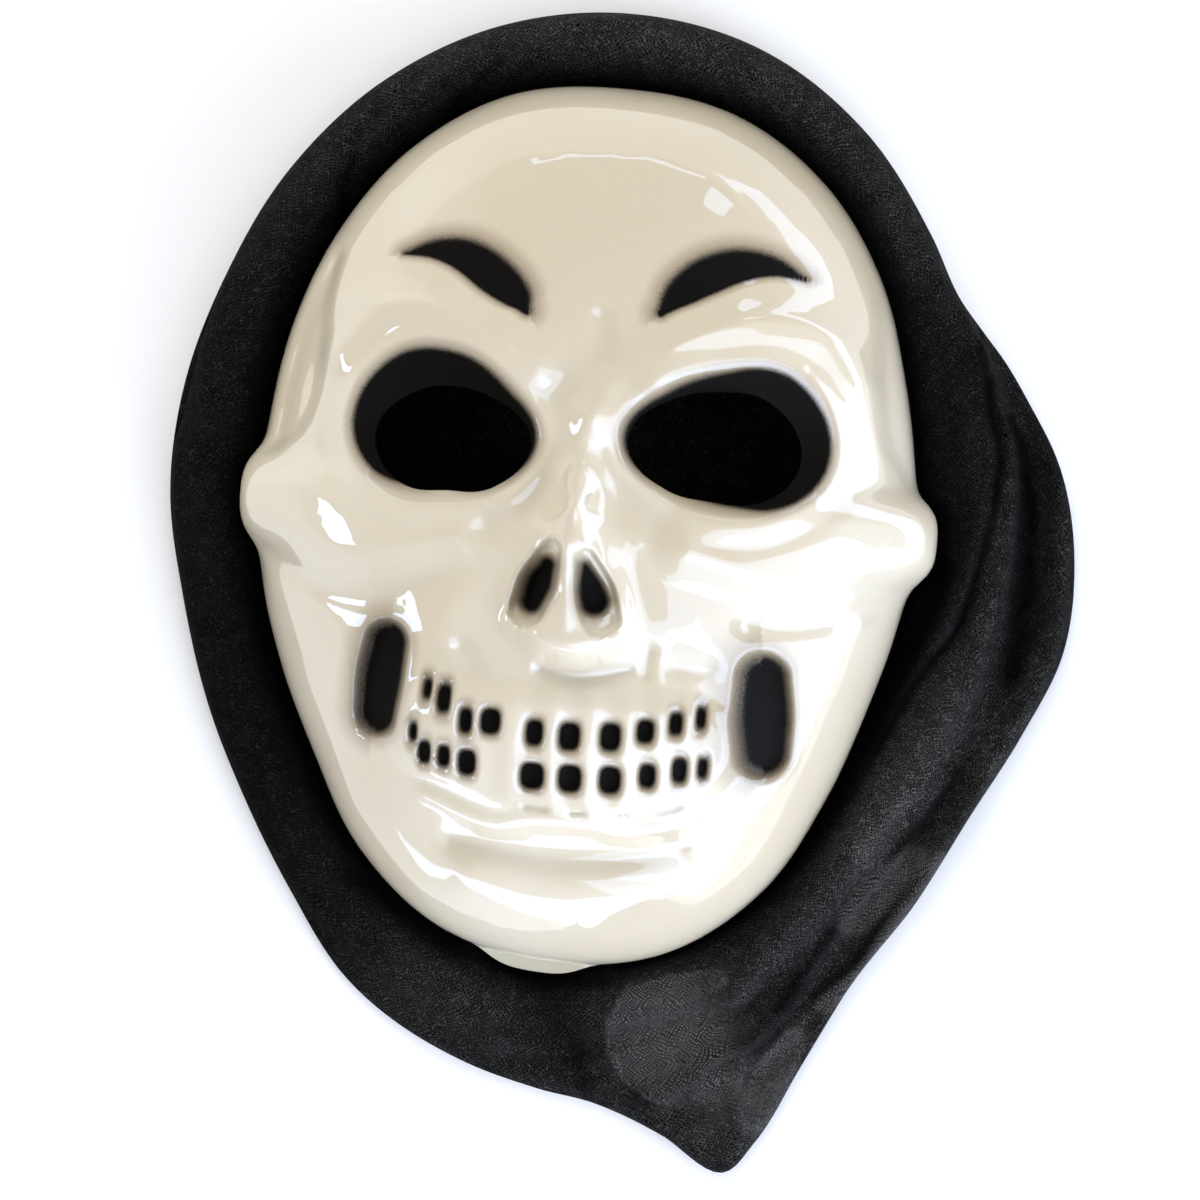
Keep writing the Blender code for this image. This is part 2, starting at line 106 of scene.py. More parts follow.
def polar(direction: Array, reach: Array, height: Array | float) -> Array:
    """Place points at a reach and a height: (reach cos, reach sin, height).

    Args:
        direction: Directions in radians.
        reach: Distances from the pole in plan.
        height: Heights, or one height for all.

    Returns:
        The points, one for each direction.
    """
    reach = reach * np.ones(direction.shape)
    height = height * np.ones(direction.shape)
    return np.stack((reach * np.cos(direction), reach * np.sin(direction), height), axis=-1)


def ring_faces(rings: int, spokes: int) -> Array:
    """List the faces between the rings of a closed grid.

    Args:
        rings: The number of rings.
        spokes: The number of points in each ring.

    Returns:
        The four vertex numbers of each face, for each pair of rings and each spoke.
    """
    number = np.arange(rings * spokes).reshape(rings, spokes)
    after = np.roll(number, -1, axis=1)
    return np.stack((number[:-1], number[1:], after[1:], after[:-1]), axis=-1)


def linear(red: float, green: float, blue: float) -> tuple[float, float, float, float]:
    """Turn a display colour of 0 to 255 into the linear colour that a shader takes.

    Args:
        red: The red part, 0 to 255.
        green: The green part.
        blue: The blue part.

    Returns:
        The linear colour, opaque.
    """
    shares = np.array((red, green, blue)) / 255.0
    values = np.where(shares <= 0.04045, shares / 12.92, ((shares + 0.055) / 1.055) ** 2.4)
    return (*values.tolist(), 1.0)


@dataclass(frozen=True)
class ClosedCurve:
    """A value that changes smoothly with direction, through rows of (degrees, value, ...)."""

    rows: tuple[Station, ...]

    def read(self, direction: Array, column: int = 1) -> Array:
        """Read the curve, in cubic pieces that keep the slope between neighbouring rows.

        Args:
            direction: Directions in radians.
            column: The column of the rows to read.

        Returns:
            The value at each direction.
        """
        table = np.array(self.rows, dtype=float)
        knots = np.radians(table[:, 0])
        values = table[:, column]
        knots = np.concatenate((knots[-2:] - 2 * np.pi, knots, knots[:3] + 2 * np.pi))
        values = np.concatenate((values[-2:], values, values[:3]))
        slopes = np.gradient(values, knots)
        place = np.mod(direction, 2 * np.pi)
        left = np.clip(np.searchsorted(knots, place, side="right") - 1, 0, len(knots) - 2)
        span = knots[left + 1] - knots[left]
        return cubic(values, slopes, left, (place - knots[left]) / span, span)


@dataclass(frozen=True)
class Trace:
    """A smooth open line in plan with a half width at each station (x, y, half width)."""

    stations: tuple[Station, ...]
    pieces: int = 18

    def line(self) -> Array:
        """Spread stations evenly along cubic pieces through the given ones.

        Returns:
            Rows of x, y and half width.
        """
        table = np.array(self.stations, dtype=float)
        place = np.linspace(0, len(table) - 1, self.pieces)
        left = np.clip(place.astype(int), 0, len(table) - 2)
        return cubic(table, np.gradient(table, axis=0), left, (place - left)[:, None], 1.0)

    def measure(self, x: Array, y: Array) -> tuple[Array, Array, Array]:
        """Measure places against the line.

        The nearest place of each straight piece is found by projecting onto it; the closest wins.

        Args:
            x: Places across the plan.
            y: Places up the plan.

        Returns:
            The distance to the line, the half width there, and the side: above 0 on the left of
            the line's run.
        """
        line = self.line()
        best = np.full(x.shape, np.inf)
        width = np.zeros(x.shape)
        side = np.zeros(x.shape)
        for start, end in zip(line[:-1], line[1:]):
            run = end - start
            reach = max(run[0] ** 2 + run[1] ** 2, 1e-9)
            t = np.clip(((x - start[0]) * run[0] + (y - start[1]) * run[1]) / reach, 0, 1)
            off_x = x - start[0] - t * run[0]
            off_y = y - start[1] - t * run[1]
            gap = np.hypot(off_x, off_y)
            closer = gap < best
            best = np.where(closer, gap, best)
            width = np.where(closer, start[2] + t * run[2], width)
            side = np.where(closer, run[0] * off_y - run[1] * off_x, side)
        return best, width, side


@dataclass(frozen=True)
class Swelling:
    """A soft ridge, or a trough where its rise is below 0."""

    name: str
    rise: float
    trace: Trace

    def height(self, x: Array, y: Array) -> Array:
        """Return the rise times e to the minus square of the distance in half widths."""
        gap, width, _ = self.trace.measure(x, y)
        return self.rise * np.exp(-(gap / width) ** 2)


@dataclass(frozen=True)
class Fold:
    """A fold of cloth: a soft ridge, steeper on the left of its run by the share given."""

    name: str
    rise: float
    steep: float
    trace: Trace
    blend: float = 8.0

    def height(self, x: Array, y: Array) -> Array:
        """Return the rise times e to the minus square of the distance in half widths.

        On the left of the run the half width is the steep share of the given one, and it blends
        into the given one across the line.

        Args:
            x: Places across the plan.
            y: Places up the plan.

        Returns:
            The height of the fold.
        """
        gap, width, side = self.trace.measure(x, y)
        share = self.steep + (1 - self.steep) * smooth_step(0.5 - side / (self.blend * width))
        return self.rise * np.exp(-(gap / (width * share)) ** 2)


@dataclass(frozen=True)
class Pad:
    """A raised place with a firm edge, or a sunk one where its rise is below 0."""

    name: str
    rise: float
    wall: float
    trace: Trace

    def height(self, x: Array, y: Array) -> Array:
        """Return the rise times a smooth step across the wall that rounds the edge."""
        gap, width, _ = self.trace.measure(x, y)
        return self.rise * smooth_step((width + 0.5 * self.wall - gap) / self.wall)


def make_swellings(*rows: tuple) -> tuple[Swelling, ...]:
    """Make swellings of rows of name, rise and stations."""
    return tuple(Swelling(name, rise, Trace(tuple(line))) for name, rise, *line in rows)


def make_folds(*rows: tuple) -> tuple[Fold, ...]:
    """Make folds of rows of name, rise, steep share, number of pieces and stations."""
    return tuple(Fold(name, rise, steep, Trace(tuple(line), pieces))
                 for name, rise, steep, pieces, *line in rows)


def make_pads(*rows: tuple) -> tuple[Pad, ...]:
    """Make pads of rows of name, rise, wall and stations."""
    return tuple(Pad(name, rise, wall, Trace(tuple(line))) for name, rise, wall, *line in rows)


@dataclass(frozen=True)
class Pit:
    """A sunk place with a firm edge, sprayed black inside.

    Its bottom is flat, and its wall is a smooth step of the given width. Spray gives how far the
    paint's edge blurs, on the left and on the right of the trace's run.
    """

    name: str
    depth: float
    wall: float
    spray: tuple[float, float]
    trace: Trace
    grown: float = 0.0

    def height(self, x: Array, y: Array) -> Array:
        """Return how far the pit sinks at a place."""
        gap, width, _ = self.trace.measure(x, y)
        return -self.depth * smooth_step((width + 0.5 * self.wall - gap) / self.wall)

    def ink(self, x: Array, y: Array) -> Array:
        """Measure places against the edge of the paint.

        Args:
            x: Places across the plan.
            y: Places up the plan.

        Returns:
            The distance from the edge in blurs, below 0 inside.
        """
        gap, width, side = self.trace.measure(x, y)
        blur = np.where(side > 0, self.spray[0], self.spray[1])
        return (gap - width - self.grown) / blur


@dataclass(frozen=True)
class EyeHole:
    """One eye hole and its socket, as radii about the hole's middle."""

    middle: tuple[float, float]
    radii: ClosedCurve
    depth: float = 8.5
    lip_depth: float = 3.0
    rim: float = 3.5
    roll_rise: float = 1.5
    roll_width: float = 2.8
    crease_depth: float = 1.0
    paint_blur: float = 1.1
    brow_spread: float = 2.2
    rim_share: float = 0.4
    roll_place: float = 0.8
    crease_place: float = 3.2

    def place(self, x: Array, y: Array) -> tuple[Array, Array, Array, Array]:
        """Measure places against the hole.

        Args:
            x: Places across the plan.
            y: Places up the plan.

        Returns:
            The distance from the middle, then the hole, socket and paint radii that way.
        """
        way = np.arctan2(y - self.middle[1], x - self.middle[0])
        reach = np.hypot(x - self.middle[0], y - self.middle[1])
        return reach, self.radii.read(way, 1), self.radii.read(way, 2), self.radii.read(way, 3)

    def height(self, x: Array, y: Array) -> Array:
        """Sink the socket by a smooth step from its edge down to the hole.

        The step is deep under the brow and a low lip at the bottom. Bells of the distance
        outside the socket add its rolled rim, and the crease below the lower one.

        Args:
            x: Places across the plan.
            y: Places up the plan.

        Returns:
            The height, below 0 in the socket.
        """
        reach, hole, socket, _ = self.place(x, y)
        upper = smooth_step(0.5 + (y - self.middle[1]) / (self.brow_spread * hole))
        depth = self.lip_depth + (self.depth - self.lip_depth) * upper
        edge = socket + self.rim_share * self.rim
        share = smooth_step((edge - reach) / (socket - hole + self.rim))
        core = smooth_step(reach / hole)
        roll = (reach - socket - self.roll_place * self.roll_width) / self.roll_width
        crease = (reach - socket - self.crease_place * self.roll_width) / self.roll_width
        raised = self.roll_rise * np.exp(-roll ** 2)
        raised -= self.crease_depth * (1 - upper) * np.exp(-crease ** 2)
        return raised - share * (
            depth * core + 0.5 * (self.depth + self.lip_depth) * (1 - core))

    def ink(self, x: Array, y: Array) -> Array:
        """Return the distance from the paint's edge in blurs, below 0 inside."""
        reach, _, _, paint = self.place(x, y)
        return (reach - paint) / self.paint_blur

    def snap(self, x: Array, y: Array) -> tuple[Array, Array]:
        """Move places onto the hole's edge, along the line from its middle.

        Args:
            x: Places across the plan.
            y: Places up the plan.

        Returns:
            The places on the edge, x and y.
        """
        way = np.arctan2(y - self.middle[1], x - self.middle[0])
        reach = self.radii.read(way, 1)
        return self.middle[0] + reach * np.cos(way), self.middle[1] + reach * np.sin(way)


@dataclass(frozen=True)
class ToothGap:
    """A black gap between two teeth: a rounded box in plan."""

    x: float
    y: float
    width: float
    height_across: float
    depth: float = 3.4
    wall: float = 2.2

    def measure(self, x: Array, y: Array) -> Array:
        """Measure places against the gap's outline, the superellipse of the third power.

        Args:
            x: Places across the plan.
            y: Places up the plan.

        Returns:
            The distance outside the outline, below 0 inside.
        """
        reach = ((np.abs(x - self.x) / (0.5 * self.width)) ** 3
                 + (np.abs(y - self.y) / (0.5 * self.height_across)) ** 3) ** (1 / 3)
        return (reach - 1) * 0.5 * min(self.width, self.height_across)


LEFT_EYE = EyeHole((-34.0, 18.0), ClosedCurve((
    # direction in degrees, hole, socket, paint
    (0, 21.2, 23.0, 23.0), (45, 15.4, 20.0, 19.6), (90, 14.0, 22.3, 22.3),
    (135, 17.0, 27.6, 27.6), (180, 22.0, 27.9, 27.9), (205, 20.4, 24.8, 23.6),
    (225, 18.3, 21.8, 18.6), (270, 14.1, 16.6, 13.0), (315, 17.5, 19.6, 16.6))))
RIGHT_EYE = EyeHole((35.5, 21.0), ClosedCurve((
    (0, 22.9, 30.6, 30.6), (45, 19.4, 28.4, 28.4), (90, 15.4, 19.8, 19.8),
    (135, 17.2, 19.6, 19.2), (180, 23.2, 25.0, 24.4), (225, 17.2, 19.2, 16.6),
    (270, 14.3, 17.0, 14.8), (300, 16.6, 19.6, 18.0), (315, 18.5, 21.8, 21.8))))

SWELLINGS = make_swellings(
    # name, rise, stations (x, y, half width)
    ("forehead fullness", 4.0, (-22, 88, 34), (0, 92, 38), (22, 88, 34)),
    ("left brow ridge", 4.2, (-14, 38, 7), (-28, 46, 8), (-44, 50, 8), (-58, 50, 7), (-68, 40, 6)),
    ("right brow ridge", 4.2, (18, 40, 7), (30, 49, 8), (46, 54, 8), (62, 54, 7), (72, 44, 6)),
    ("left brow wrinkle", 0.7, (-62, 52, 1.4), (-48, 53, 1.8), (-32, 48, 1.6), (-20, 42, 1.2)),
    ("right brow wrinkle", 0.7, (22, 46, 1.2), (36, 53, 1.8), (52, 57, 1.8), (66, 54, 1.4)),
    ("frown", -1.6, (3, 52, 3), (4, 42, 4)),
    ("nose root", 3.6, (6, 33, 6), (3, 26, 6)),
    ("nose bridge", 3.0, (3, 26, 5), (1, 16, 5), (1, 8, 6)),
    ("nasal bone", 5.6, (1, 8, 6), (1, 2, 8), (1, -5, 9)),
    ("nose arch", 1.5, (-14.5, -27, 2.2), (-12.5, -15, 2.2), (-7.5, -4, 2.6), (1, 1.5, 3),
     (9, -3, 2.6), (14, -14, 2.2), (17, -27, 2.2)),
    ("nose fullness", 3.6, (1, -12, 9), (1, -20, 12), (2, -28, 13)),
    ("nose sill", 2.6, (-13, -29.5, 2.8), (-4, -33, 3.4), (7, -34, 3.4), (15.5, -31, 2.8)),
    ("septum", 1.2, (0, -8, 1.6), (0.4, -18, 1.6), (1, -28, 2.2)),
    ("left cheek slope", 2.4, (-14, -6, 8), (-24, -20, 8), (-34, -32, 7)),
    ("right cheek slope", 3.4, (18, -6, 9), (30, -18, 11), (40, -30, 9)),
    ("left cheek crease", -1.6, (-94, -13, 2.5), (-81, -19, 3), (-68, -25, 3), (-56, -27, 3.5),
     (-46, -26, 4)),
    ("right cheek crease", -1.6, (97, -9, 2.5), (86, -17, 3), (74, -21, 3), (60, -24, 3.5),
     (50, -24, 4)),
    ("mouth fullness", 4.6, (-26, -60, 20), (3, -63, 24), (30, -60, 20)),
    ("lower gum", 2.4, (-34, -77, 2.4), (-16, -83, 2.6), (-4, -81, 3), (10, -80.5, 3),
     (24, -81, 3.6), (38, -76, 3)),
    ("chin trough", -2.8, (-26, -89, 4), (4, -90, 5), (34, -87, 4)),
    ("chin", 4.0, (-20, -99, 7), (2, -103, 8), (28, -98, 7)),
    ("left root recess", -1.4, (-26, -37, 3), (-22, -43, 3)),
    ("right root recess", -1.8, (22.5, -34, 2.2), (22, -40, 2.2)),
    ("far root recess", -1.6, (30, -37, 3), (38, -37, 3)),
)

PADS = make_pads(
    # name, rise, wall, stations (x, y, half width)
    ("left temple", -4.0, 7.0, (-76, 68, 2), (-80, 54, 5), (-81, 38, 7), (-83, 24, 7),
     (-88, 16, 3)),
    ("right temple", -4.0, 7.0, (78, 74, 2), (83, 60, 5), (86, 44, 7), (89, 30, 7), (94, 20, 3)),
    ("left cheekbone", 6.0, 13.0, (-96, -1, 7), (-80, -2, 10), (-62, -7, 11), (-46, -9, 8),
     (-30, -8, 4)),
    ("right cheekbone", 6.0, 13.0, (99, 2, 7), (82, 1, 10), (64, -3, 12), (48, -6, 10),
     (32, -5, 6)),
    ("nose", 6.0, 9.0, (1, 2, 2), (1, -8, 7), (1.5, -18, 11.5), (2, -24, 13)),
    ("upper lip", -2.0, 3.6, (-5, -40.5, 1.4), (6, -41.5, 2.6), (18, -39, 1.6)),
    ("left lip notch", -0.9, 1.6, (-3.6, -37.6, 1.2), (-2.0, -37.4, 1.2)),
    ("right lip notch", -0.9, 1.6, (7.4, -37.6, 1.2), (9.4, -37.2, 1.2)),
    ("jaw block", 3.4, 8.0, (-32, -60, 12), (0, -64, 17.5), (34, -59, 13)),
)

PITS = (
    # name, depth, wall, (spray on the left, on the right), stations (x, y, half width)
    Pit("left eyebrow", 0.7, 5.0, (1.7, 0.7), Trace((
        (-53, 67.4, 0.4), (-44, 68.6, 2.8), (-35, 66.8, 4.6), (-26.5, 61.6, 5.2),
        (-19.8, 56.4, 3.8), (-17.0, 52.6, 1.2))), 0.3),
    Pit("right eyebrow", 0.7, 5.0, (0.7, 1.7), Trace((
        (56, 69.2, 0.4), (47, 71.6, 2.8), (37.5, 70.4, 4.6), (29, 66.2, 5.2),
        (22.2, 60.6, 4.0), (18.0, 55, 1.2))), 0.3),
    Pit("left nose pit", 4.4, 2.6, (1.2, 1.2), Trace((
        (-5.4, -13.6, 2.4), (-7.2, -18.2, 3.7), (-8.8, -23.2, 3.2)))),
    Pit("right nose pit", 4.4, 2.6, (1.2, 1.2), Trace((
        (4.6, -13.0, 1.2), (6.2, -18.0, 3.2), (7.6, -21.8, 3.8)))),
    Pit("left cheek hollow", 6.0, 4.0, (1.6, 2.4), Trace((
        (-47.6, -37.5, 5.8), (-49, -47, 6.4), (-50, -57, 6.0)))),
    Pit("right cheek hollow", 6.0, 4.4, (1.6, 3.4), Trace((
        (53, -38.5, 6.6), (54, -49, 7.6), (55, -58.5, 6.8)))),
)

SMALL_RECESSES = make_pads(
    # name, rise, wall, stations (x, y, half width)
    ("left nose recess", -3.8, 2.2, (-4.2, -9.5, 2.6), (-7.2, -18, 5.0), (-9.6, -25.2, 4.6)),
    ("right nose recess", -3.8, 2.2, (4.8, -11, 2.4), (7.8, -19, 4.6), (9.6, -25.6, 4.8)),
    ("left gum gap", -1.3, 1.6, (-6.5, -77, 0.8), (-1, -77.4, 0.9)),
    ("middle gum gap", -1.3, 1.6, (5.5, -77.6, 0.7), (9, -77.6, 0.7)),
    ("right gum gap", -1.3, 1.6, (16.5, -77.4, 0.7), (20, -77, 0.7)),
    ("far gum gap", -1.3, 1.6, (27.5, -76, 0.7), (34, -74, 0.7)),
)

TOOTH_COLUMNS = (
    # x, top, bottom
    (-32.2, -47, -70), (-26.6, -50, -71), (-20.0, -51, -72), (-11.0, -46, -74),
    (-0.4, -46, -75), (9.4, -46, -75), (19.2, -45, -74), (27.4, -45, -72), (34.5, -44, -70))

TOOTH_GAPS = tuple(ToothGap(*row) for row in (
    # x, y, width, height
    (-34.6, -48.6, 2.6, 6.0), (-29.7, -50.6, 3.8, 8.0), (-23.4, -55.8, 3.6, 7.2),
    (-16.8, -55.3, 5.4, 7.0), (-5.1, -57.2, 4.6, 7.2), (4.1, -57.4, 5.6, 7.6),
    (14.7, -56.6, 5.4, 7.6), (23.6, -54.4, 4.6, 6.4), (31.3, -51.8, 3.6, 6.4),
    (37.7, -49.8, 2.8, 6.8),
    (-37.8, -60.3, 2.4, 5.6), (-34.4, -65.4, 3.8, 6.8), (-28.9, -65.8, 3.6, 6.2),
    (-22.5, -66.8, 5.0, 7.2), (-5.0, -68.7, 6.4, 7.4), (4.9, -68.5, 6.2, 7.6),
    (15.4, -68.0, 5.8, 7.6), (25.0, -66.1, 4.4, 6.8), (33.2, -64.0, 4.0, 7.4),
    (39.2, -63.1, 2.8, 6.6)))

FACE_OUTLINE = ClosedCurve((
    # direction in degrees, radius
    (0, 94.6), (15, 95.6), (30, 100.6), (45, 110.0), (60, 119.2), (75, 125.2), (90, 126.0),
    (105, 126.0), (120, 120.2), (135, 111.6), (150, 103.6), (165, 97.6), (180, 95.4),
    (195, 95.6), (210, 97.6), (225, 103.2), (240, 114.6), (255, 123.8), (270, 126.6),
    (285, 125.6), (300, 117.4), (315, 105.4), (330, 97.0), (345, 94.0)))

HOOD_OUTLINE = ClosedCurve((
    # direction in degrees, radius
    (0, 140.0), (12, 136.2), (20, 131.4), (26, 128.6), (31, 126.2), (36, 125.0), (45, 129.0),
    (60, 138.5), (75, 145.8), (90, 148.2), (105, 146.8), (120, 141.9), (135, 135.2),
    (150, 128.4), (165, 124.8), (180, 122.3), (195, 119.8), (210, 122.2), (225, 128.5),
    (236, 137.0), (247, 149.0), (262, 159.4), (270, 163.6), (276, 167.4), (282, 177.4),
    (287, 190.7), (290, 184.5), (296, 168.6), (303, 155.0), (316, 143.8), (327, 138.2),
    (339, 138.4), (350, 141.2)))

NECK_OPENING = ClosedCurve((
    # direction in degrees, x, y
    (0, 47.0, -52.0), (45, 32.0, -28.0), (90, 0.0, -19.0), (135, -29.0, -30.0),
    (180, -44.0, -56.0), (215, -50.0, -88.0), (240, -47.0, -116.0), (253, -37.0, -136.0),
    (262, -20.5, -148.5), (270, 0.0, -153.5), (277, 20.0, -157.0), (283, 38.0, -165.5),
    (287, 52.5, -174.0), (291, 60.0, -164.5), (297, 69.0, -144.0), (305, 78.0, -121.0),
    (315, 80.0, -98.0), (328, 66.0, -80.0), (343, 54.0, -65.0)))


def make_mesh(name: str, points: Array, faces: Array) -> bpy.types.Mesh:
    """Make a mesh from plan points and faces of four corners.

    Args:
        name: The mesh's name.
        points: Rows of x, y, z in millimetres of the plan.
        faces: Rows of four vertex numbers.

    Returns:
        The mesh, in metres of the frame.
    """
    mesh = bpy.data.meshes.new(name)
    mesh.from_pydata(to_frame(points).tolist(), [], faces.tolist())
    mesh.update()
    return mesh


def add_piece(mesh: bpy.types.Mesh, *replaced: str, slot: str) -> bpy.types.Object:
    """Put a mesh in the scene as a piece that rides on the body and replaces its solid.

    Args:
        mesh: The finished mesh, which gives the piece its name.
        replaced: The solids that the piece stands for.
        slot: The material slot; not used.

    Returns:
        The piece.
    """
    piece = bpy.data.objects.new(mesh.name, mesh)
    bpy.context.scene.collection.objects.link(piece)
    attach(piece, ROOT)
    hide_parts(*replaced)
    return piece


def store_floats(mesh: bpy.types.Mesh, name: str, values: Array) -> None:
    """Store one number at each vertex under a name that a material reads."""
    layer = mesh.attributes.new(name, "FLOAT", "POINT")
    layer.data.foreach_set("value", values.astype(np.float32))


class Sketch:
    """A short way to place and join the nodes of one material."""

    def __init__(self, name: str) -> None:
        """Start a material with its shader."""
        self.material = bpy.data.materials.new(name)
        self.material.use_nodes = True
        self.tree = self.material.node_tree
        self.shader = self.tree.nodes["Principled BSDF"]

    def join(self, start: object, end: object) -> None:
        """Join an output socket, or a number or colour, to an input socket.

        Args:
            start: The output socket or the value.
            end: The input socket.
        """
        if isinstance(start, bpy.types.NodeSocket):
            self.tree.links.new(start, end)
        else:
            end.default_value = start

    def node(self, kind: str, taken: dict[object, object],
             **settings: object) -> bpy.types.Node:
        """Add a node.

        Args:
            kind: The node's type, without its prefix.
            taken: What each of its input sockets takes, a socket or a value.
            settings: The node's own settings, which are set first.

        Returns:
            The node.
        """
        made = self.tree.nodes.new("ShaderNode" + kind)
        for key, value in settings.items():
            setattr(made, key, value)
        for key, value in taken.items():
            self.join(value, made.inputs[key])
        return made

    def math(self, operation: str, first: object, second: object = 0.0,
             clamp: bool = False) -> bpy.types.NodeSocket:
        """Return a sum, product or other operation of two values."""
        taken = {0: first, 1: second}
        return self.node("Math", taken, operation=operation, use_clamp=clamp).outputs[0]

    def noise(self, place: object, scale: float, detail: float = 2.0,
              roughness: float = 0.5, distortion: float = 0.0) -> bpy.types.Node:
        """Return a noise of a scale, in patterns to the unit of its place."""
        return self.node("TexNoise", {
            "Vector": place, "Scale": scale, "Detail": detail, "Roughness": roughness,
            "Distortion": distortion})

    def speckle(self, place: object, *values: float) -> bpy.types.NodeSocket:
        """Return the strength of a noise, with the same values as noise takes."""
        return self.noise(place, *values).outputs["Fac"]

    def spread(self, value: object, low: float, high: float, to_low: float = 0.0,
               to_high: float = 1.0) -> bpy.types.NodeSocket:
        """Return a value mapped smoothly from low..high to to_low..to_high."""
        return self.node("MapRange", {
            "Value": value, "From Min": low, "From Max": high, "To Min": to_low,
            "To Max": to_high}, interpolation_type="SMOOTHSTEP").outputs["Result"]

    def mix(self, share: object, first: object, second: object) -> bpy.types.NodeSocket:
        """Return a colour between two colours."""
        return self.node("Mix", {0: share, 6: first, 7: second}, data_type="RGBA").outputs[2]

    def attribute(self, name: str) -> bpy.types.NodeSocket:
        """Return a number that the mesh stores at its vertices."""
        return self.node("Attribute", {}, attribute_name=name).outputs["Fac"]

    def place(self) -> bpy.types.NodeSocket:
        """Return the object's own coordinates."""
        return self.node("TexCoord", {}).outputs["Object"]

    def bump(self, height: object, distance: float, strength: float = 1.0,
             normal: Optional[bpy.types.NodeSocket] = None) -> bpy.types.NodeSocket:
        """Tilt a normal by a height.

        Args:
            height: The height, 0 to 1.
            distance: What 1 stands for, in metres.
            strength: The share of the tilt that is used.
            normal: The normal to start from, or the surface's own.

        Returns:
            The tilted normal.
        """
        taken = {"Strength": strength, "Distance": distance, "Height": height}
        if normal is not None:
            taken["Normal"] = normal
        return self.node("Bump", taken).outputs["Normal"]

    def set(self, **values: object) -> None:
        """Set sockets of the shader by name, with underscores for spaces."""
        for key, value in values.items():
            self.join(value, self.shader.inputs[key.replace("_", " ")])


@dataclass(frozen=True)
class IvoryPlastic:
    """Glossy formed plastic in ivory, with airbrushed black in its hollows."""

    ivory: tuple = linear(216, 207, 188)
    warm_ivory: tuple = linear(208, 196, 172)
    overspray: tuple = linear(120, 98, 70)
    black: tuple = linear(19, 17, 15)
    halo_share: float = 0.55
    spray_grain: float = 1.5
    # scale, detail, roughness and distortion of the noises
    clouds: tuple = (9.0, 3.0)
    spray_noise: tuple = (3600.0, 1.0, 0.6)
    ripples: tuple = (52.0, 1.6, 0.4, 0.6)
    grain_noise: tuple = (700.0, 2.0)
    ripple_depth: float = 0.0006
    grain_depth: float = 0.00003

    def make(self) -> bpy.types.Material:
        """Make the material.

        The stored ink is a distance from the paint's edge in blurs. A smooth step of it, shifted
        by fine noise like spray, mixes ivory into brown overspray and black. The clear coat
        carries the gloss, with slow ripples, and it ends where the paint begins.

        Returns:
            The material.
        """
        art = Sketch("ivory_plastic")
        place = art.place()
        cloudy = art.spread(art.speckle(place, *self.clouds), 0.35, 0.65)
        body = art.mix(cloudy, self.ivory, self.warm_ivory)
        speck = art.math("SUBTRACT", art.speckle(place, *self.spray_noise), 0.5)
        shift = art.math("MULTIPLY", speck, self.spray_grain)
        ink = art.math("ADD", art.attribute("ink"), shift)
        halo = art.spread(ink, 3.4, 0.2, 0.0, self.halo_share)
        black = art.spread(ink, 0.9, -0.9)
        colour = art.mix(halo, body, self.overspray)
        colour = art.mix(black, colour, self.black)
        bare = art.math("SUBTRACT", 1.0, black)
        art.set(Base_Color=colour, Roughness=0.6, IOR=1.5, Specular_IOR_Level=0.02,
                Coat_Weight=bare, Coat_Roughness=0.03, Coat_IOR=1.6,
                Subsurface_Weight=0.12, Subsurface_Scale=0.002)
        ripple = art.speckle(place, *self.ripples)
        grain = art.speckle(place, *self.grain_noise)
        soft = art.bump(ripple, self.ripple_depth, 0.6)
        art.set(Normal=art.bump(grain, self.grain_depth, 0.3, soft), Coat_Normal=soft)
        return art.material


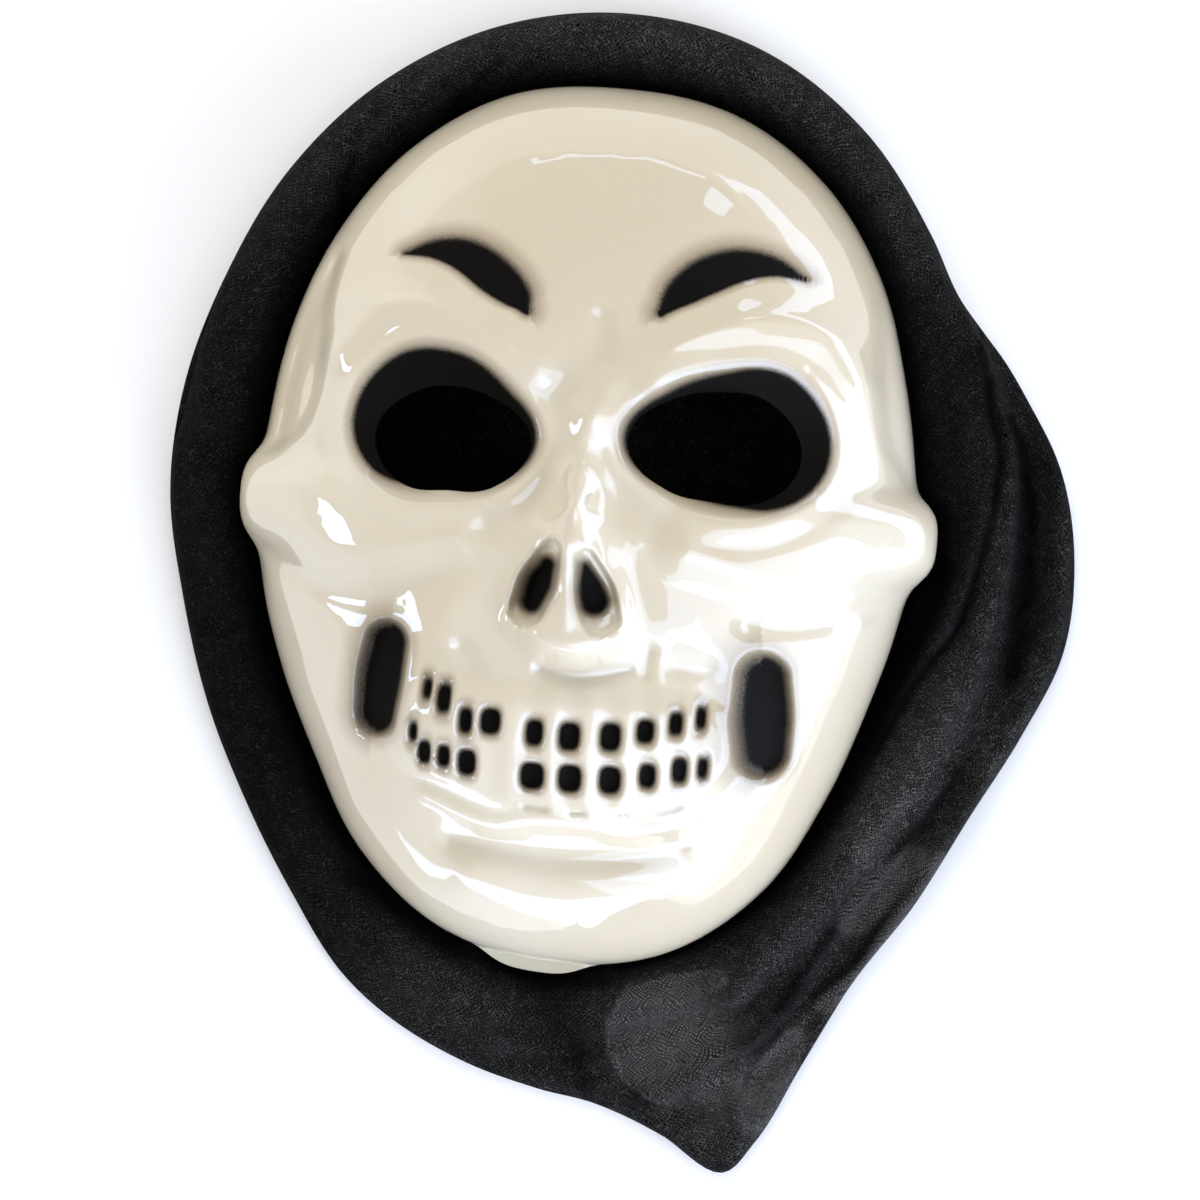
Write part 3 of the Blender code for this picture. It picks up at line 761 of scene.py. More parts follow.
@dataclass(frozen=True)
class SheerCloth:
    """Black crinkled sheer cloth, whose mesh lets the light through where it lies single."""

    thread: tuple = linear(66, 65, 64)
    hollow: tuple = linear(12, 12, 12)
    # painted glints: bright specks standing for the sheen of crinkled threads
    glint: tuple = linear(150, 149, 147)
    shade: tuple = linear(3, 3, 3)
    # painted light of the pale floor seen through the open net
    painted_see_through_light: tuple = linear(150, 148, 146)
    pitch: float = 0.8
    crinkles: tuple = (620.0, 3.0, 0.7, 2.2)
    patches: tuple = (160.0, 2.0)
    drift_scale: float = 0.16
    drift_reach: float = 5.0
    glint_share: float = 0.5
    open_share: float = 0.9
    weave_depth: float = 0.00008
    crinkle_depth: float = 0.0005

    def make(self) -> bpy.types.Material:
        """Make the material.

        Two crossing sets of threads, waves along the sheet's own map, stand out of dark hollows.
        Fine twisted noise lights some of them with painted glints. Where the stored sheerness is
        high, the hollows are open and let the light through, and a painted light of the floor seen
        through them brightens them. The stored painted light and shade, which holds some of the
        photograph's shading, mixes this colour with the painted shade colour.

        Returns:
            The material.
        """
        art = Sketch("black_cloth")
        place = art.place()
        sheet_map = art.node("UVMap", {}, uv_map="weave").outputs["UV"]
        drift = art.noise(sheet_map, self.drift_scale).outputs["Color"]
        wobble = art.node("VectorMath", {0: drift, "Scale": self.drift_reach}, operation="SCALE")
        moved = art.node("VectorMath", {0: sheet_map, 1: wobble.outputs[0]}, operation="ADD")
        split = art.node("SeparateXYZ", {0: moved.outputs[0]})
        along, across = split.outputs["X"], split.outputs["Y"]
        threads = []
        for operation in ("ADD", "SUBTRACT"):
            slant = art.math(operation, along, across)
            turned = art.math("MULTIPLY", slant, 2 * np.pi / (self.pitch * 2 ** 0.5))
            threads.append(art.spread(art.math("SINE", turned), -0.5, 0.7))
        covered = art.math("MAXIMUM", threads[0], threads[1])
        squiggle = art.speckle(place, *self.crinkles)
        patchy = art.spread(art.speckle(place, *self.patches), 0.3, 0.7, 0.55, 1.0)
        glinting = art.math("MULTIPLY", art.spread(squiggle, 0.5, 0.66), covered)
        sheer = art.attribute("sheer")
        colour = art.mix(art.math("MULTIPLY", covered, patchy), self.hollow, self.thread)
        # painted glints on the threads where the crinkle noise is high
        colour = art.mix(art.math("MULTIPLY", glinting, self.glint_share), colour, self.glint)
        # painted light and shade: the stored attribute mixes the colour towards the painted shade
        # colour
        colour = art.mix(art.attribute("tone"), self.shade, colour)
        opening = art.math("SUBTRACT", 1.0, covered)
        # painted light of the floor in the open net, on top of the real see-through holes
        painted_see_through_light = art.math("MULTIPLY", opening, sheer, clamp=True)
        colour = art.mix(art.math("MULTIPLY", painted_see_through_light, self.open_share), colour, self.painted_see_through_light)
        bare = art.math("MULTIPLY", sheer, self.open_share)
        hole = art.math("MULTIPLY", opening, bare, clamp=True)
        art.set(Base_Color=colour, Roughness=0.8, IOR=1.05,
                Alpha=art.math("SUBTRACT", 1.0, hole))
        weave = art.bump(covered, self.weave_depth, 0.5)
        art.set(Normal=art.bump(squiggle, self.crinkle_depth, 0.5, weave))
        return art.material


@dataclass(frozen=True)
class PaleFloor:
    """A plain pale studio surface."""

    colour: tuple = linear(250, 250, 250)
    mottling: tuple = linear(247, 247, 248)

    def make(self) -> bpy.types.Material:
        """Make the material with a faint mottling."""
        art = Sketch("pale_floor")
        soft = art.speckle(art.place(), 3.0)
        art.set(Base_Color=art.mix(soft, self.colour, self.mottling), Roughness=0.9)
        return art.material


@dataclass
class MaskShell:
    """The formed plastic face: one closed wall with its relief and two eye holes."""

    wall: float = 1.5
    dome_rise: float = 70.0
    plan_power: float = 2.5
    rise_power: float = 1.6
    rim_height: float = 3.0
    flange_reach: float = 3.2
    flange_thickness: float = 1.3
    flange_direction: float = 268.0
    flange_spread: float = 6.5
    edge_fade: float = 0.90
    outer_grid: tuple[int, int] = (560, 132)
    inner_grid: tuple[int, int] = (200, 44)
    tooth_rise: float = 0.6
    tooth_width: float = 2.8
    fine_share: float = 0.73
    fine_ring: float = 0.78
    gap_blur: float = 0.6
    ink_range: tuple[float, float] = (-6.0, 9.0)
    hole_drop: float = 1.6
    rim_band: float = 4.0
    sharp_angle: float = 62.0
    side_lobes: tuple[Station, ...] = (
        # direction in degrees, height, half width, half height, swell
        (180.0, 22.0, 14.0, 18.0, 7.2),
        (1.5, 22.0, 13.0, 19.0, 9.2),
    )

    def relief(self, x: Array, y: Array) -> Array:
        """Add up the skull's relief: every swelling, pad, socket, pit and tooth gap.

        Each tooth is a bell across its column and past its ends, and where tooth gaps meet the
        deeper one counts.

        Args:
            x: Places across the plan.
            y: Places up the plan.

        Returns:
            The height above the dome.
        """
        height = np.zeros(x.shape)
        for form in (*SWELLINGS, *PADS, LEFT_EYE, RIGHT_EYE, *PITS, *SMALL_RECESSES):
            height += form.height(x, y)
        for column, top, bottom in TOOTH_COLUMNS:
            beyond = np.maximum(np.maximum(y - top, bottom - y), 0.0)
            height += self.tooth_rise * np.exp(
                -((x - column) / self.tooth_width) ** 2 - (beyond / self.tooth_width) ** 2)
        sunk = np.zeros(x.shape)
        for gap in TOOTH_GAPS:
            share = smooth_step((0.5 * gap.wall - gap.measure(x, y)) / gap.wall)
            sunk = np.maximum(sunk, gap.depth * share)
        return height - sunk

    def ink(self, x: Array, y: Array) -> Array:
        """Measure places against the nearest edge of the paint.

        Args:
            x: Places across the plan.
            y: Places up the plan.

        Returns:
            The distance from the edge in blurs, below 0 inside, held within the range.
        """
        nearest = np.full(x.shape, self.ink_range[1])
        for form in (*PITS, LEFT_EYE, RIGHT_EYE):
            nearest = np.minimum(nearest, form.ink(x, y))
        for gap in TOOTH_GAPS:
            nearest = np.minimum(nearest, gap.measure(x, y) / self.gap_blur)
        return np.clip(nearest, *self.ink_range)

    def swell(self, direction: Array, height: Array) -> Array:
        """Push the side wall out at the cheekbone lobes, each a bell in two ways.

        Args:
            direction: Directions in radians.
            height: Heights over the rim.

        Returns:
            How far the wall is pushed out.
        """
        total = np.zeros(np.broadcast(direction, height).shape)
        for lobe, middle, half_width, half_height, push in self.side_lobes:
            turn = turn_from(direction, lobe)
            along = turn * FACE_OUTLINE.read(np.radians(lobe)) / half_width
            total += push * np.exp(-along ** 4 - ((height - middle) / half_height) ** 2)
        return total

    def flange(self, direction: Array) -> Array:
        """Return 1 at the middle of the chin flange and 0 away from it."""
        turn = turn_from(direction, self.flange_direction)
        return np.exp(-(turn / np.radians(self.flange_spread)) ** 4)

    def leans(self, rings: int) -> Array:
        """Spread the rings over the dome: even steps in plan, then even turns down the side.

        Args:
            rings: The number of rings.

        Returns:
            The lean of each ring, from 0 at the top to a quarter turn at the rim.
        """
        share = np.linspace(0, 1, rings + 1)[1:]
        ring = self.fine_ring * share / self.fine_share
        fine = np.arcsin(np.clip(ring, 0, self.fine_ring) ** (self.plan_power / 2))
        last = np.arcsin(self.fine_ring ** (self.plan_power / 2))
        coarse = last + (np.pi / 2 - last) * (share - self.fine_share) / (1 - self.fine_share)
        return np.where(share < self.fine_share, fine, coarse)

    def wall_points(self, direction: Array, lean: Array, inset: float) -> Array:
        """Return points of the wall.

        A superellipse turned about the nose bridge gives plan radius R sin(lean)^(2/p) and height
        H cos(lean)^(2/q). The relief is added upwards and fades at the rim. The inner wall takes
        the lowest relief within the wall's thickness.

        Args:
            direction: Directions in radians.
            lean: Leans from the top, in radians.
            inset: The wall's thickness for the inner side, 0 for the outer.

        Returns:
            The points.
        """
        ring = np.sin(lean) ** (2 / self.plan_power)
        rise = (self.dome_rise - inset) * np.cos(lean) ** (2 / self.rise_power)
        reach = (FACE_OUTLINE.read(direction) - inset + self.swell(direction, rise)) * ring
        x, y = reach * np.cos(direction), reach * np.sin(direction)
        shape = self.relief(x, y)
        if inset:
            for step_x, step_y in ((inset, 0), (-inset, 0), (0, inset), (0, -inset)):
                shape = np.minimum(shape, self.relief(x + step_x, y + step_y))
        fade = smooth_step((1 - ring) / (1 - self.edge_fade))
        return np.stack((x, y, self.rim_height + rise + shape * fade), axis=-1)

    def lean_at(self, x: Array, y: Array) -> tuple[Array, Array]:
        """Find the direction and lean of places in plan, away from the side lobes.

        Args:
            x: Places across the plan.
            y: Places up the plan.

        Returns:
            The directions and the leans, in radians.
        """
        direction = np.arctan2(y, x)
        ring = np.hypot(x, y) / FACE_OUTLINE.read(direction)
        return direction, np.arcsin(np.clip(ring, 0, 1) ** (self.plan_power / 2))

    def sheet(self, grid: tuple[int, int], inset: float) -> tuple[Array, Array]:
        """Make one side of the wall as a polar grid whose eye holes are trimmed.

        Corners just inside a hole are moved onto its edge, and faces with no corner outside it are
        left out.

        Args:
            grid: The numbers of spokes and rings.
            inset: The wall's thickness for the inner side, 0 for the outer.

        Returns:
            The points and the faces, facing up.
        """
        spokes, rings = grid
        way, lean = np.meshgrid(even_directions(spokes), self.leans(rings))
        points = self.wall_points(way, lean, inset)
        inside = np.zeros(way.shape, dtype=bool)
        for eye in (LEFT_EYE, RIGHT_EYE):
            reach, hole, _, _ = eye.place(points[..., 0], points[..., 1])
            within = reach < hole
            edge_x, edge_y = eye.snap(points[within][:, 0], points[within][:, 1])
            edge = self.wall_points(*self.lean_at(edge_x, edge_y), 0.0)
            edge[:, 2] -= self.hole_drop * inset
            points[within] = edge
            inside |= within
        corners = ring_faces(rings, spokes)
        faces = corners[~inside.ravel()[corners].all(axis=-1)]
        crown = self.wall_points(np.zeros(1), np.full(1, 1e-6), inset)
        centre = np.full(spokes, rings * spokes)
        first, after = corners[0, :, 0], corners[0, :, 3]
        cap = np.stack((centre, first, after, after), axis=-1)
        return np.concatenate((points.reshape(-1, 3), crown)), np.concatenate((faces, cap))

    def seat_rim(self, points: Array, grid: tuple[int, int], inset: float) -> None:
        """Set the last ring on the rim's foot, drawn out to the chin flange outside.

        Args:
            points: The side's points, which are changed.
            grid: The numbers of spokes and rings.
            inset: The wall's thickness for the inner side, 0 for the outer.
        """
        spokes, rings = grid
        direction = even_directions(spokes)
        share = self.flange(direction) if not inset else np.zeros(spokes)
        reach = FACE_OUTLINE.read(direction) - inset + self.flange_reach * share
        height = self.rim_height + self.flange_thickness * share
        points[(rings - 1) * spokes:rings * spokes] = polar(direction, reach, height)

    def build(self) -> bpy.types.Object:
        """Build the face: outer and inner sheets, bridged at the rim and round both eye holes.

        Returns:
            The finished piece.
        """
        outer, outer_faces = self.sheet(self.outer_grid, 0.0)
        inner, inner_faces = self.sheet(self.inner_grid, self.wall)
        self.seat_rim(outer, self.outer_grid, 0.0)
        self.seat_rim(inner, self.inner_grid, self.wall)
        points = np.concatenate((outer, inner))
        upside = inner_faces[:, ::-1] + len(outer)
        form = bmesh.new()
        corners = [form.verts.new(place) for place in to_frame(points).tolist()]
        for face in np.concatenate((outer_faces, upside)).tolist():
            ring = list(dict.fromkeys(face))
            form.faces.new([corners[number] for number in ring])
        loose = [corner for corner in form.verts if not corner.link_faces]
        bmesh.ops.delete(form, geom=loose, context="VERTS")
        self.bridge(form)
        bmesh.ops.recalc_face_normals(form, faces=form.faces)
        mesh = bpy.data.meshes.new("mask_face")
        form.to_mesh(mesh)
        form.free()
        mesh.shade_smooth()
        mesh.set_sharp_from_angle(angle=np.radians(self.sharp_angle))
        flat = np.zeros(len(mesh.vertices) * 3)
        mesh.vertices.foreach_get("co", flat)
        place = flat.reshape(-1, 3) / MM + np.array((*PLAN_MIDDLE, 0.0))
        store_floats(mesh, "ink", self.ink(place[:, 0], place[:, 1]))
        return add_piece(mesh, "mask_shell", slot="ivory_plastic")

    def bridge(self, form: bmesh.types.BMesh) -> None:
        """Join the open edges of the two sheets round the rim and each eye hole.

        Args:
            form: The mesh being built, with both sheets in it.
        """
        groups: dict[Border, list] = {border: [] for border in Border}
        for edge in [edge for edge in form.edges if len(edge.link_faces) == 1]:
            middle = (edge.verts[0].co + edge.verts[1].co) / 2
            if middle.z < (self.rim_height + self.rim_band) * MM:
                border = Border.RIM
            elif middle.x / MM + PLAN_MIDDLE[0] < 0:
                border = Border.LEFT_EYE
            else:
                border = Border.RIGHT_EYE
            groups[border].append(edge)
        for edges in groups.values():
            bmesh.ops.bridge_loops(form, edges=edges)


@dataclass
class Hood:
    """The black cloth hood: one sheet from its glued edge to the hem at the neck."""

    face: MaskShell
    cloth: float = 0.5
    gap: float = 0.3
    glue_gap: float = 1.0
    flap_top: float = 8.5
    passage_height: float = 2.1
    underside: float = 0.35
    rim_clearance: float = 1.4
    laid_rise: float = 2.6
    edge_softness: float = 4.0
    fold_start: float = 10.0
    deepest: float = -2.0
    thinnest: float = 0.6
    lobe_top: float = 40.0
    flap_foot: float = 1.4
    flap_rings: int = 5
    turn_under: float = 0.9
    wrinkle_radius: float = 120.0
    weave_radius: float = 125.0
    flat_share: float = 0.92
    flat_stretch: float = 1.25
    rim_bend: tuple = ((0.4, 0.6), (1.5, 0.0))
    edge_bend: tuple = ((0.2, 0.3), (0.0, -0.3))
    spokes: int = 560
    front_rings: int = 68
    back_rings: int = 10
    wrinkle_rise: float = 0.35
    roll: ClosedCurve = ClosedCurve((
        # direction in degrees, height, width
        (0, 9, 20), (20, 11, 22), (40, 12.5, 22), (90, 13, 21), (135, 13, 22), (180, 13, 24),
        (210, 12, 24), (235, 9, 24), (255, 6.5, 22), (270, 5, 20), (290, 3.6, 16),
        (310, 3.2, 13), (330, 4, 13), (345, 6, 16)))
    folds: tuple = make_folds(
        # name, rise, steep share, pieces, stations (x, y, half width)
        ("ring edge", 7.5, 0.28, 34, (101, 69, 4), (105, 59, 5), (107, 47, 6), (111, 32, 8),
         (111, 16, 9), (109, 2, 9), (105, -18, 8), (96, -32, 7), (85, -57, 6), (74, -76, 5),
         (65, -91, 5), (53, -105, 4)),
        ("rope", 8.0, 0.6, 34, (107, 60, 2.5), (112, 48, 3.4), (117, 34, 4), (119, 20, 4.6),
         (119, 6, 5), (118, -9, 6), (114, -26, 8), (108, -44, 10), (100, -62, 11), (89, -80, 11),
         (78, -98, 10), (66, -114, 9), (54, -130, 7)),
        ("flap edge", 4.6, 0.8, 28, (115, 62, 3), (122, 50, 4), (129, 38, 4), (134, 24, 4),
         (136, 7, 4), (136, -10, 4), (134, -27, 4), (129, -41, 4), (123, -54, 4), (114, -70, 4),
         (103, -90, 4)),
        ("pocket wrinkle", 2.4, 0.5, 18, (122, 30, 1.6), (127, 20, 2), (129, 8, 1.8)),
        ("middle pocket wrinkle", 2.4, 0.5, 18, (128, 0, 1.8), (131, -8, 2), (126, -16, 1.8)),
        ("lower pocket wrinkle", 2.2, 0.5, 18, (130, -22, 1.8), (127, -34, 2.2), (121, -44, 1.8)),
        ("second swag", 3.6, 0.3, 24, (112, -60, 3), (105, -70, 4), (99, -82, 4), (90, -95, 4),
         (83, -104, 4), (76, -117, 4), (67, -132, 4), (60, -143, 3)),
        ("third swag", 3.2, 0.3, 24, (120, -64, 2), (115, -73, 2.6), (110, -84, 2.6),
         (105, -93, 2.6), (94, -111, 3), (87, -125, 3), (79, -139, 2.4)),
        ("inner swag", 2.2, 0.5, 24, (92, -46, 2), (82, -66, 2.4), (70, -88, 2.4), (56, -106, 2.4),
         (42, -120, 2)),
        ("tip fold", 3.4, 0.3, 18, (73, -128, 3), (62, -142, 3.4), (51, -149, 3.4), (41, -158, 3),
         (27, -163, 2)),
        ("tip line", 2.6, 0.35, 18, (57, -148, 2), (57, -161, 2.4), (58, -175, 2)),
        ("patch edge", 3.2, 0.4, 18, (21, -131, 2), (18, -145, 2.6), (21, -152, 2.6),
         (27, -163, 2.2)),
        ("hem", 1.4, 0.6, 18, (27, -166, 2.2), (34, -172, 2.4), (45, -177, 2.4), (57, -178, 2.2)),
        ("left overlap", 3.0, 0.3, 18, (-26, -122, 2), (-16, -129, 3), (-7, -136, 3),
         (-2, -145, 3), (3, -154, 3), (10, -162, 2)),
        ("centre line", 2.2, 0.4, 18, (11, -131, 1.6), (13, -142, 2), (15, -160, 1.8)),
        ("left swag", 2.0, 0.6, 24, (-104, -44, 5), (-90, -80, 6), (-66, -112, 6), (-36, -138, 6),
         (-14, -150, 5)),
        ("left wrinkle", 1.2, 0.5, 24, (-84, -70, 2.4), (-66, -94, 2.8), (-42, -118, 2.8),
         (-24, -132, 2.4)),
        ("right roll wrinkle", 1.6, 0.4, 18, (80, 78, 1.6), (89, 54, 2), (94, 38, 2), (100, 18, 2),
         (103, 2, 1.6)),
        ("upper tuck", -2.2, 0.6, 18, (-75, 99, 1.6), (-78, 90, 1.8), (-80, 78, 1.4)),
        ("short tuck", -1.6, 0.6, 18, (-74, 97, 1.4), (-81, 107, 1.6)),
        ("top tuck", -1.8, 0.6, 18, (-34, 130, 1.4), (-41, 124, 1.8), (-48, 117, 1.6)),
    )
    sheer_places: tuple = make_pads(
        # name, rise, wall, stations (x, y, half width)
        ("net below the chin", 1.0, 1.2, (24, -136, 3), (25, -144, 6.5), (30, -152, 8),
         (36, -158, 6)),
        ("net top", 1.0, 1.2, (25, -134, 2.5), (37, -131, 4.5), (49, -126, 2)),
        ("tip net", 1.0, 3.0, (63, -166, 3.5), (66, -155, 5), (72, -142, 3)),
        ("side strip", 0.9, 4.0, (101, -88, 4), (92, -98, 5), (86, -106, 4)),
        ("edge strip", 0.9, 2.5, (109, -86, 1.4), (97, -107, 1.6), (90, -120, 1.6), (80, -131, 2)),
    ) + make_swellings(
        ("net fading right", 0.8, (36, -141, 9), (46, -146, 9), (52, -158, 6)),
    )
    painted_light_by_direction: ClosedCurve = ClosedCurve((
        # direction in degrees, painted brightness of the cloth: painted light at the top and
        # towards the lower right, painted shade on the left away from the lamps
        (0, 0.20), (15, 0.22), (30, 0.30), (60, 0.42), (90, 0.52), (115, 0.42), (135, 0.30),
        (155, 0.20), (180, 0.14), (205, 0.10), (230, 0.10), (246, 0.18), (256, 0.34),
        (270, 0.32), (285, 0.50), (300, 0.44), (320, 0.42), (335, 0.30), (348, 0.22)))
    painted_shades_and_lights: tuple = make_swellings(
        # name, rise (above 0 darkens, below 0 brightens), stations; painted shade in fold lines,
        # pockets, tucks and the valley beside the rim, and painted light along the rope and the
        # flap edge
        ("rope light", -0.7, (118, 20, 3.4), (117, 0, 5), (113, -26, 8), (105, -50, 9),
         (96, -68, 9), (86, -86, 7)),
        ("flap light", -0.6, (134, 20, 2.6), (136, -8, 3), (131, -38, 4), (119, -62, 5)),
        ("roll shade", 0.7, (91, 72, 6), (99, 50, 8), (102, 30, 8), (103, 10, 8), (99, -7, 8),
         (92, -25, 7)),
        ("ring line", 1.7, (107, 59, 1.4), (111, 42, 1.4), (115, 30, 1.4), (115, 16, 1.4),
         (113, 2, 1.4), (108, -20, 1.4), (99, -34, 1.4), (88, -58, 1.2)),
        ("pocket", 1.7, (117, 40, 1.6), (122, 32, 2.2), (125, 18, 3), (126, 3, 3.4), (126, -13, 4),
         (124, -32, 3.4)),
        ("rim valley", 2.4, (103, -4, 2), (101, -14, 2.4), (95, -29, 3), (89, -45, 3.4),
         (82, -63, 3.6), (74, -80, 3.6), (62, -97, 3.4), (50, -109, 3), (38, -118, 2.4),
         (20, -126, 2)),
        ("swag line", 1.4, (112, -60, 1.2), (99, -82, 1.6), (83, -105, 1.6), (67, -133, 1.6)),
        ("second line", 1.3, (105, -90, 1.4), (96, -103, 1.8), (88, -117, 2), (77, -129, 2)),
        ("crossing shade", 0.9, (-8, -126, 4), (2, -138, 6), (9, -150, 6), (14, -160, 4)),
        ("band", 0.8, (73, -127, 2.2), (62, -142, 3), (51, -150, 3), (41, -158, 3), (27, -164, 2)),
        ("hem shade", 0.6, (27, -168, 2), (38, -176, 2.4), (50, -180, 2.4), (59, -180, 1.6)),
        ("chin shade", 1.2, (-60, -106, 2), (-30, -124, 3), (0, -131, 3.4), (16, -131, 2.4)),
        ("tuck shade", 1.0, (-75, 99, 1.2), (-78, 90, 1.6), (-80, 78, 1.6)),
        ("top tuck shade", 0.9, (-34, 130, 1), (-41, 124, 1.4), (-48, 117, 1.6)),
    )
    rim_shade: float = 1.3
    rim_shade_reach: float = 6.0

    def fold_height(self, x: Array, y: Array) -> Array:
        """Return how high the long folds stand at a place in plan."""
        return sum(fold.height(x, y) for fold in self.folds)

    def tone(self, x: Array, y: Array) -> Array:
        """Find the cloth's brightness: the curve of directions times e to minus the shades.

        The painted shades and lights are added up, with a painted shade in a bell of the distance
        from the face's edge.

        Args:
            x: Places across the plan.
            y: Places up the plan.

        Returns:
            The painted brightness, 0 to 1.
        """
        direction = np.arctan2(y, x)
        gap = np.hypot(x, y) - FACE_OUTLINE.read(direction) - self.overhang(direction)
        dark = self.rim_shade * np.exp(-(gap / self.rim_shade_reach) ** 2)
        dark += sum(shade.height(x, y) for shade in self.painted_shades_and_lights)
        return self.painted_light_by_direction.read(direction) * np.exp(-dark)

    def wrinkles(self, direction: Array, gap: Array) -> Array:
        """Add small uneven wrinkles: three waves across the hood whose phase wanders.

        Args:
            direction: Directions in radians.
            gap: Distances from the face's rim.

        Returns:
            The height of the wrinkles.
        """
        arc = self.wrinkle_radius * direction
        total = np.sin(gap / 1.9 + 2.2 * np.sin(arc / 31.0) + 0.9 * np.sin(arc / 9.0))
        total += np.sin(gap / 3.1 - arc / 23.0 + 1.7 * np.sin(arc / 17.0 + 1.0))
        total += 0.8 * np.sin(gap / 1.3 + arc / 7.5 + 2.0 * np.sin(arc / 41.0 + 2.0))
        return self.wrinkle_rise * total

    def overhang(self, direction: Array) -> Array:
        """Find how far the face's cheekbone lobes stand out past its rim.

        Args:
            direction: Directions in radians.

        Returns:
            The greatest distance over the lobes' height, 0 or more.
        """
        face = self.face
        height = np.linspace(1.0, self.lobe_top, 40)[:, None]
        share = (height / face.dome_rise) ** face.rise_power
        ring = (1 - share) ** (1 / face.plan_power)
        drawn_in = FACE_OUTLINE.read(direction) * (1 - ring)
        stands = face.swell(direction[None, :], height) * ring - drawn_in
        return np.maximum(stands.max(axis=0), 0.0)

    def front(self, direction: Array, rim: Array, fold: Array) -> list[Array]:
        """Make the rings from the face's rim out to the folded edge.

        Beside the rim the height is half an ellipse across the roll; beyond it the cloth lies low
        and carries the long folds. The two are joined by the fourth root of their fourth powers.

        Args:
            direction: Directions in radians.
            rim: The reach of the first ring.
            fold: The reach of the folded edge.

        Returns:
            The rings' points.
        """
        width = fold - rim
        roll = np.minimum(width, self.roll.read(direction, 2))
        lift = self.roll.read(direction, 1)
        rings = []
        for share in 0.5 - 0.5 * np.cos(np.pi * np.linspace(0, 1, self.front_rings)):
            gap = width * share
            x, y = (rim + gap) * np.cos(direction), (rim + gap) * np.sin(direction)
            across = np.clip(2 * gap / roll - 1, -1, 1)
            rolled = lift * np.sqrt(1 - across ** 2)
            start = smooth_step(gap / self.fold_start)
            folded = np.maximum(self.fold_height(x, y) * start, self.deepest)
            lying = self.laid_rise * start + folded
            joined = (np.maximum(rolled, 0) ** 4 + np.maximum(lying, 0) ** 4) ** 0.25
            joined += np.minimum(lying, 0) + self.wrinkles(direction, gap) * start
            edge = np.clip((gap - width + self.edge_softness) / self.edge_softness, 0, 1)
            begin = np.clip(1 - gap / self.edge_softness, 0, 1)
            height = np.maximum(joined, self.thinnest)
            height = height * np.sqrt(1 - edge ** 2) * np.sqrt(1 - begin ** 2)
            rings.append(np.stack((x, y, self.passage_height + height), axis=-1))
        return rings

    def rings(self, direction: Array) -> Array:
        """Make the sheet's rings, from the glued edge inside the face to the neck's hem.

        Args:
            direction: Directions in radians.

        Returns:
            The points, ring by ring.
        """
        face = self.face
        wall_reach = FACE_OUTLINE.read(direction)
        rim = wall_reach + self.rim_clearance + self.overhang(direction)
        rim += (face.flange_reach + self.gap) * face.flange(direction)
        fold = HOOD_OUTLINE.read(direction) - 0.5 * self.cloth
        glued = wall_reach - face.wall - self.glue_gap - 0.5 * self.cloth
        rings = []
        foot = face.rim_height + self.flap_foot
        for height in np.linspace(self.flap_top, foot, self.flap_rings):
            share = (height - face.rim_height) / face.dome_rise
            lean = np.arccos(share ** (face.rise_power / 2))
            drawn_in = wall_reach * (1 - np.sin(lean) ** (2 / face.plan_power))
            rings.append(polar(direction, glued - drawn_in, height))
        for outward, upward in self.rim_bend:
            rings.append(polar(direction, glued + outward, self.passage_height + upward))
        rings += self.front(direction, rim, fold)
        middle = 0.5 * (self.passage_height + self.underside)
        for outward, upward in self.edge_bend:
            rings.append(polar(direction, fold + outward, middle + upward))
        opening = np.stack(
            (NECK_OPENING.read(direction, 1), NECK_OPENING.read(direction, 2)), axis=-1)
        turned = polar(direction, fold - self.turn_under, self.underside)
        for share in np.linspace(0, 1, self.back_rings):
            ring = turned.copy()
            ring[:, :2] += (opening - turned[:, :2]) * share
            rings.append(ring)
        return np.stack(rings)

    def build(self) -> bpy.types.Object:
        """Build the sheet on its grid, and give it its weave map, its painted light and shade and
        its thickness.

        Returns:
            The finished piece.
        """
        direction = even_directions(self.spokes)
        rings = self.rings(direction)
        points = rings.reshape(-1, 3)
        faces = ring_faces(len(rings), self.spokes).reshape(-1, 4)
        mesh = make_mesh("hood_cloth", points, faces)
        mesh.shade_smooth()
        self.add_weave_map(mesh, rings, direction)
        sheer = sum(place.height(points[:, 0], points[:, 1]) for place in self.sheer_places)
        store_floats(mesh, "sheer", np.clip(sheer, 0, 1))
        # painted light and shade of the cloth, stored for its material
        store_floats(mesh, "tone", self.tone(points[:, 0], points[:, 1]))
        hood = add_piece(mesh, "hood", slot="black_cloth")
        wall = hood.modifiers.new("cloth thickness", "SOLIDIFY")
        wall.thickness = self.cloth * MM
        wall.offset = 0.0
        return hood

    def add_weave_map(self, mesh: bpy.types.Mesh, rings: Array, direction: Array) -> None:
        """Add a map in millimetres of cloth: round the hood, and along the sheet's profile.

        A face that closes the round has its low corners moved on by one full round.

        Args:
            mesh: The hood's mesh.
            rings: The points, ring by ring.
            direction: The direction of each spoke in radians.
        """
        steps = np.linalg.norm(np.diff(rings, axis=0), axis=-1)
        run = np.concatenate((np.zeros((1, self.spokes)), np.cumsum(steps, axis=0)))
        round_way = np.broadcast_to(direction * self.weave_radius, run.shape)
        flat = np.stack((round_way, run), axis=-1).reshape(-1, 2)
        loops = np.zeros(len(mesh.loops), dtype=int)
        mesh.loops.foreach_get("vertex_index", loops)
        by_face = flat[loops].reshape(-1, 4, 2)
        seam = 0.8 * self.weave_radius
        wraps = (by_face[..., 0].max(axis=1) - by_face[..., 0].min(axis=1)) > seam
        low = wraps[:, None] & (by_face[..., 0] < seam)
        by_face[..., 0] += np.where(low, 2 * np.pi * self.weave_radius, 0.0)
        layer = mesh.uv_layers.new(name="weave")
        layer.data.foreach_set("uv", by_face.reshape(-1).astype(np.float32))


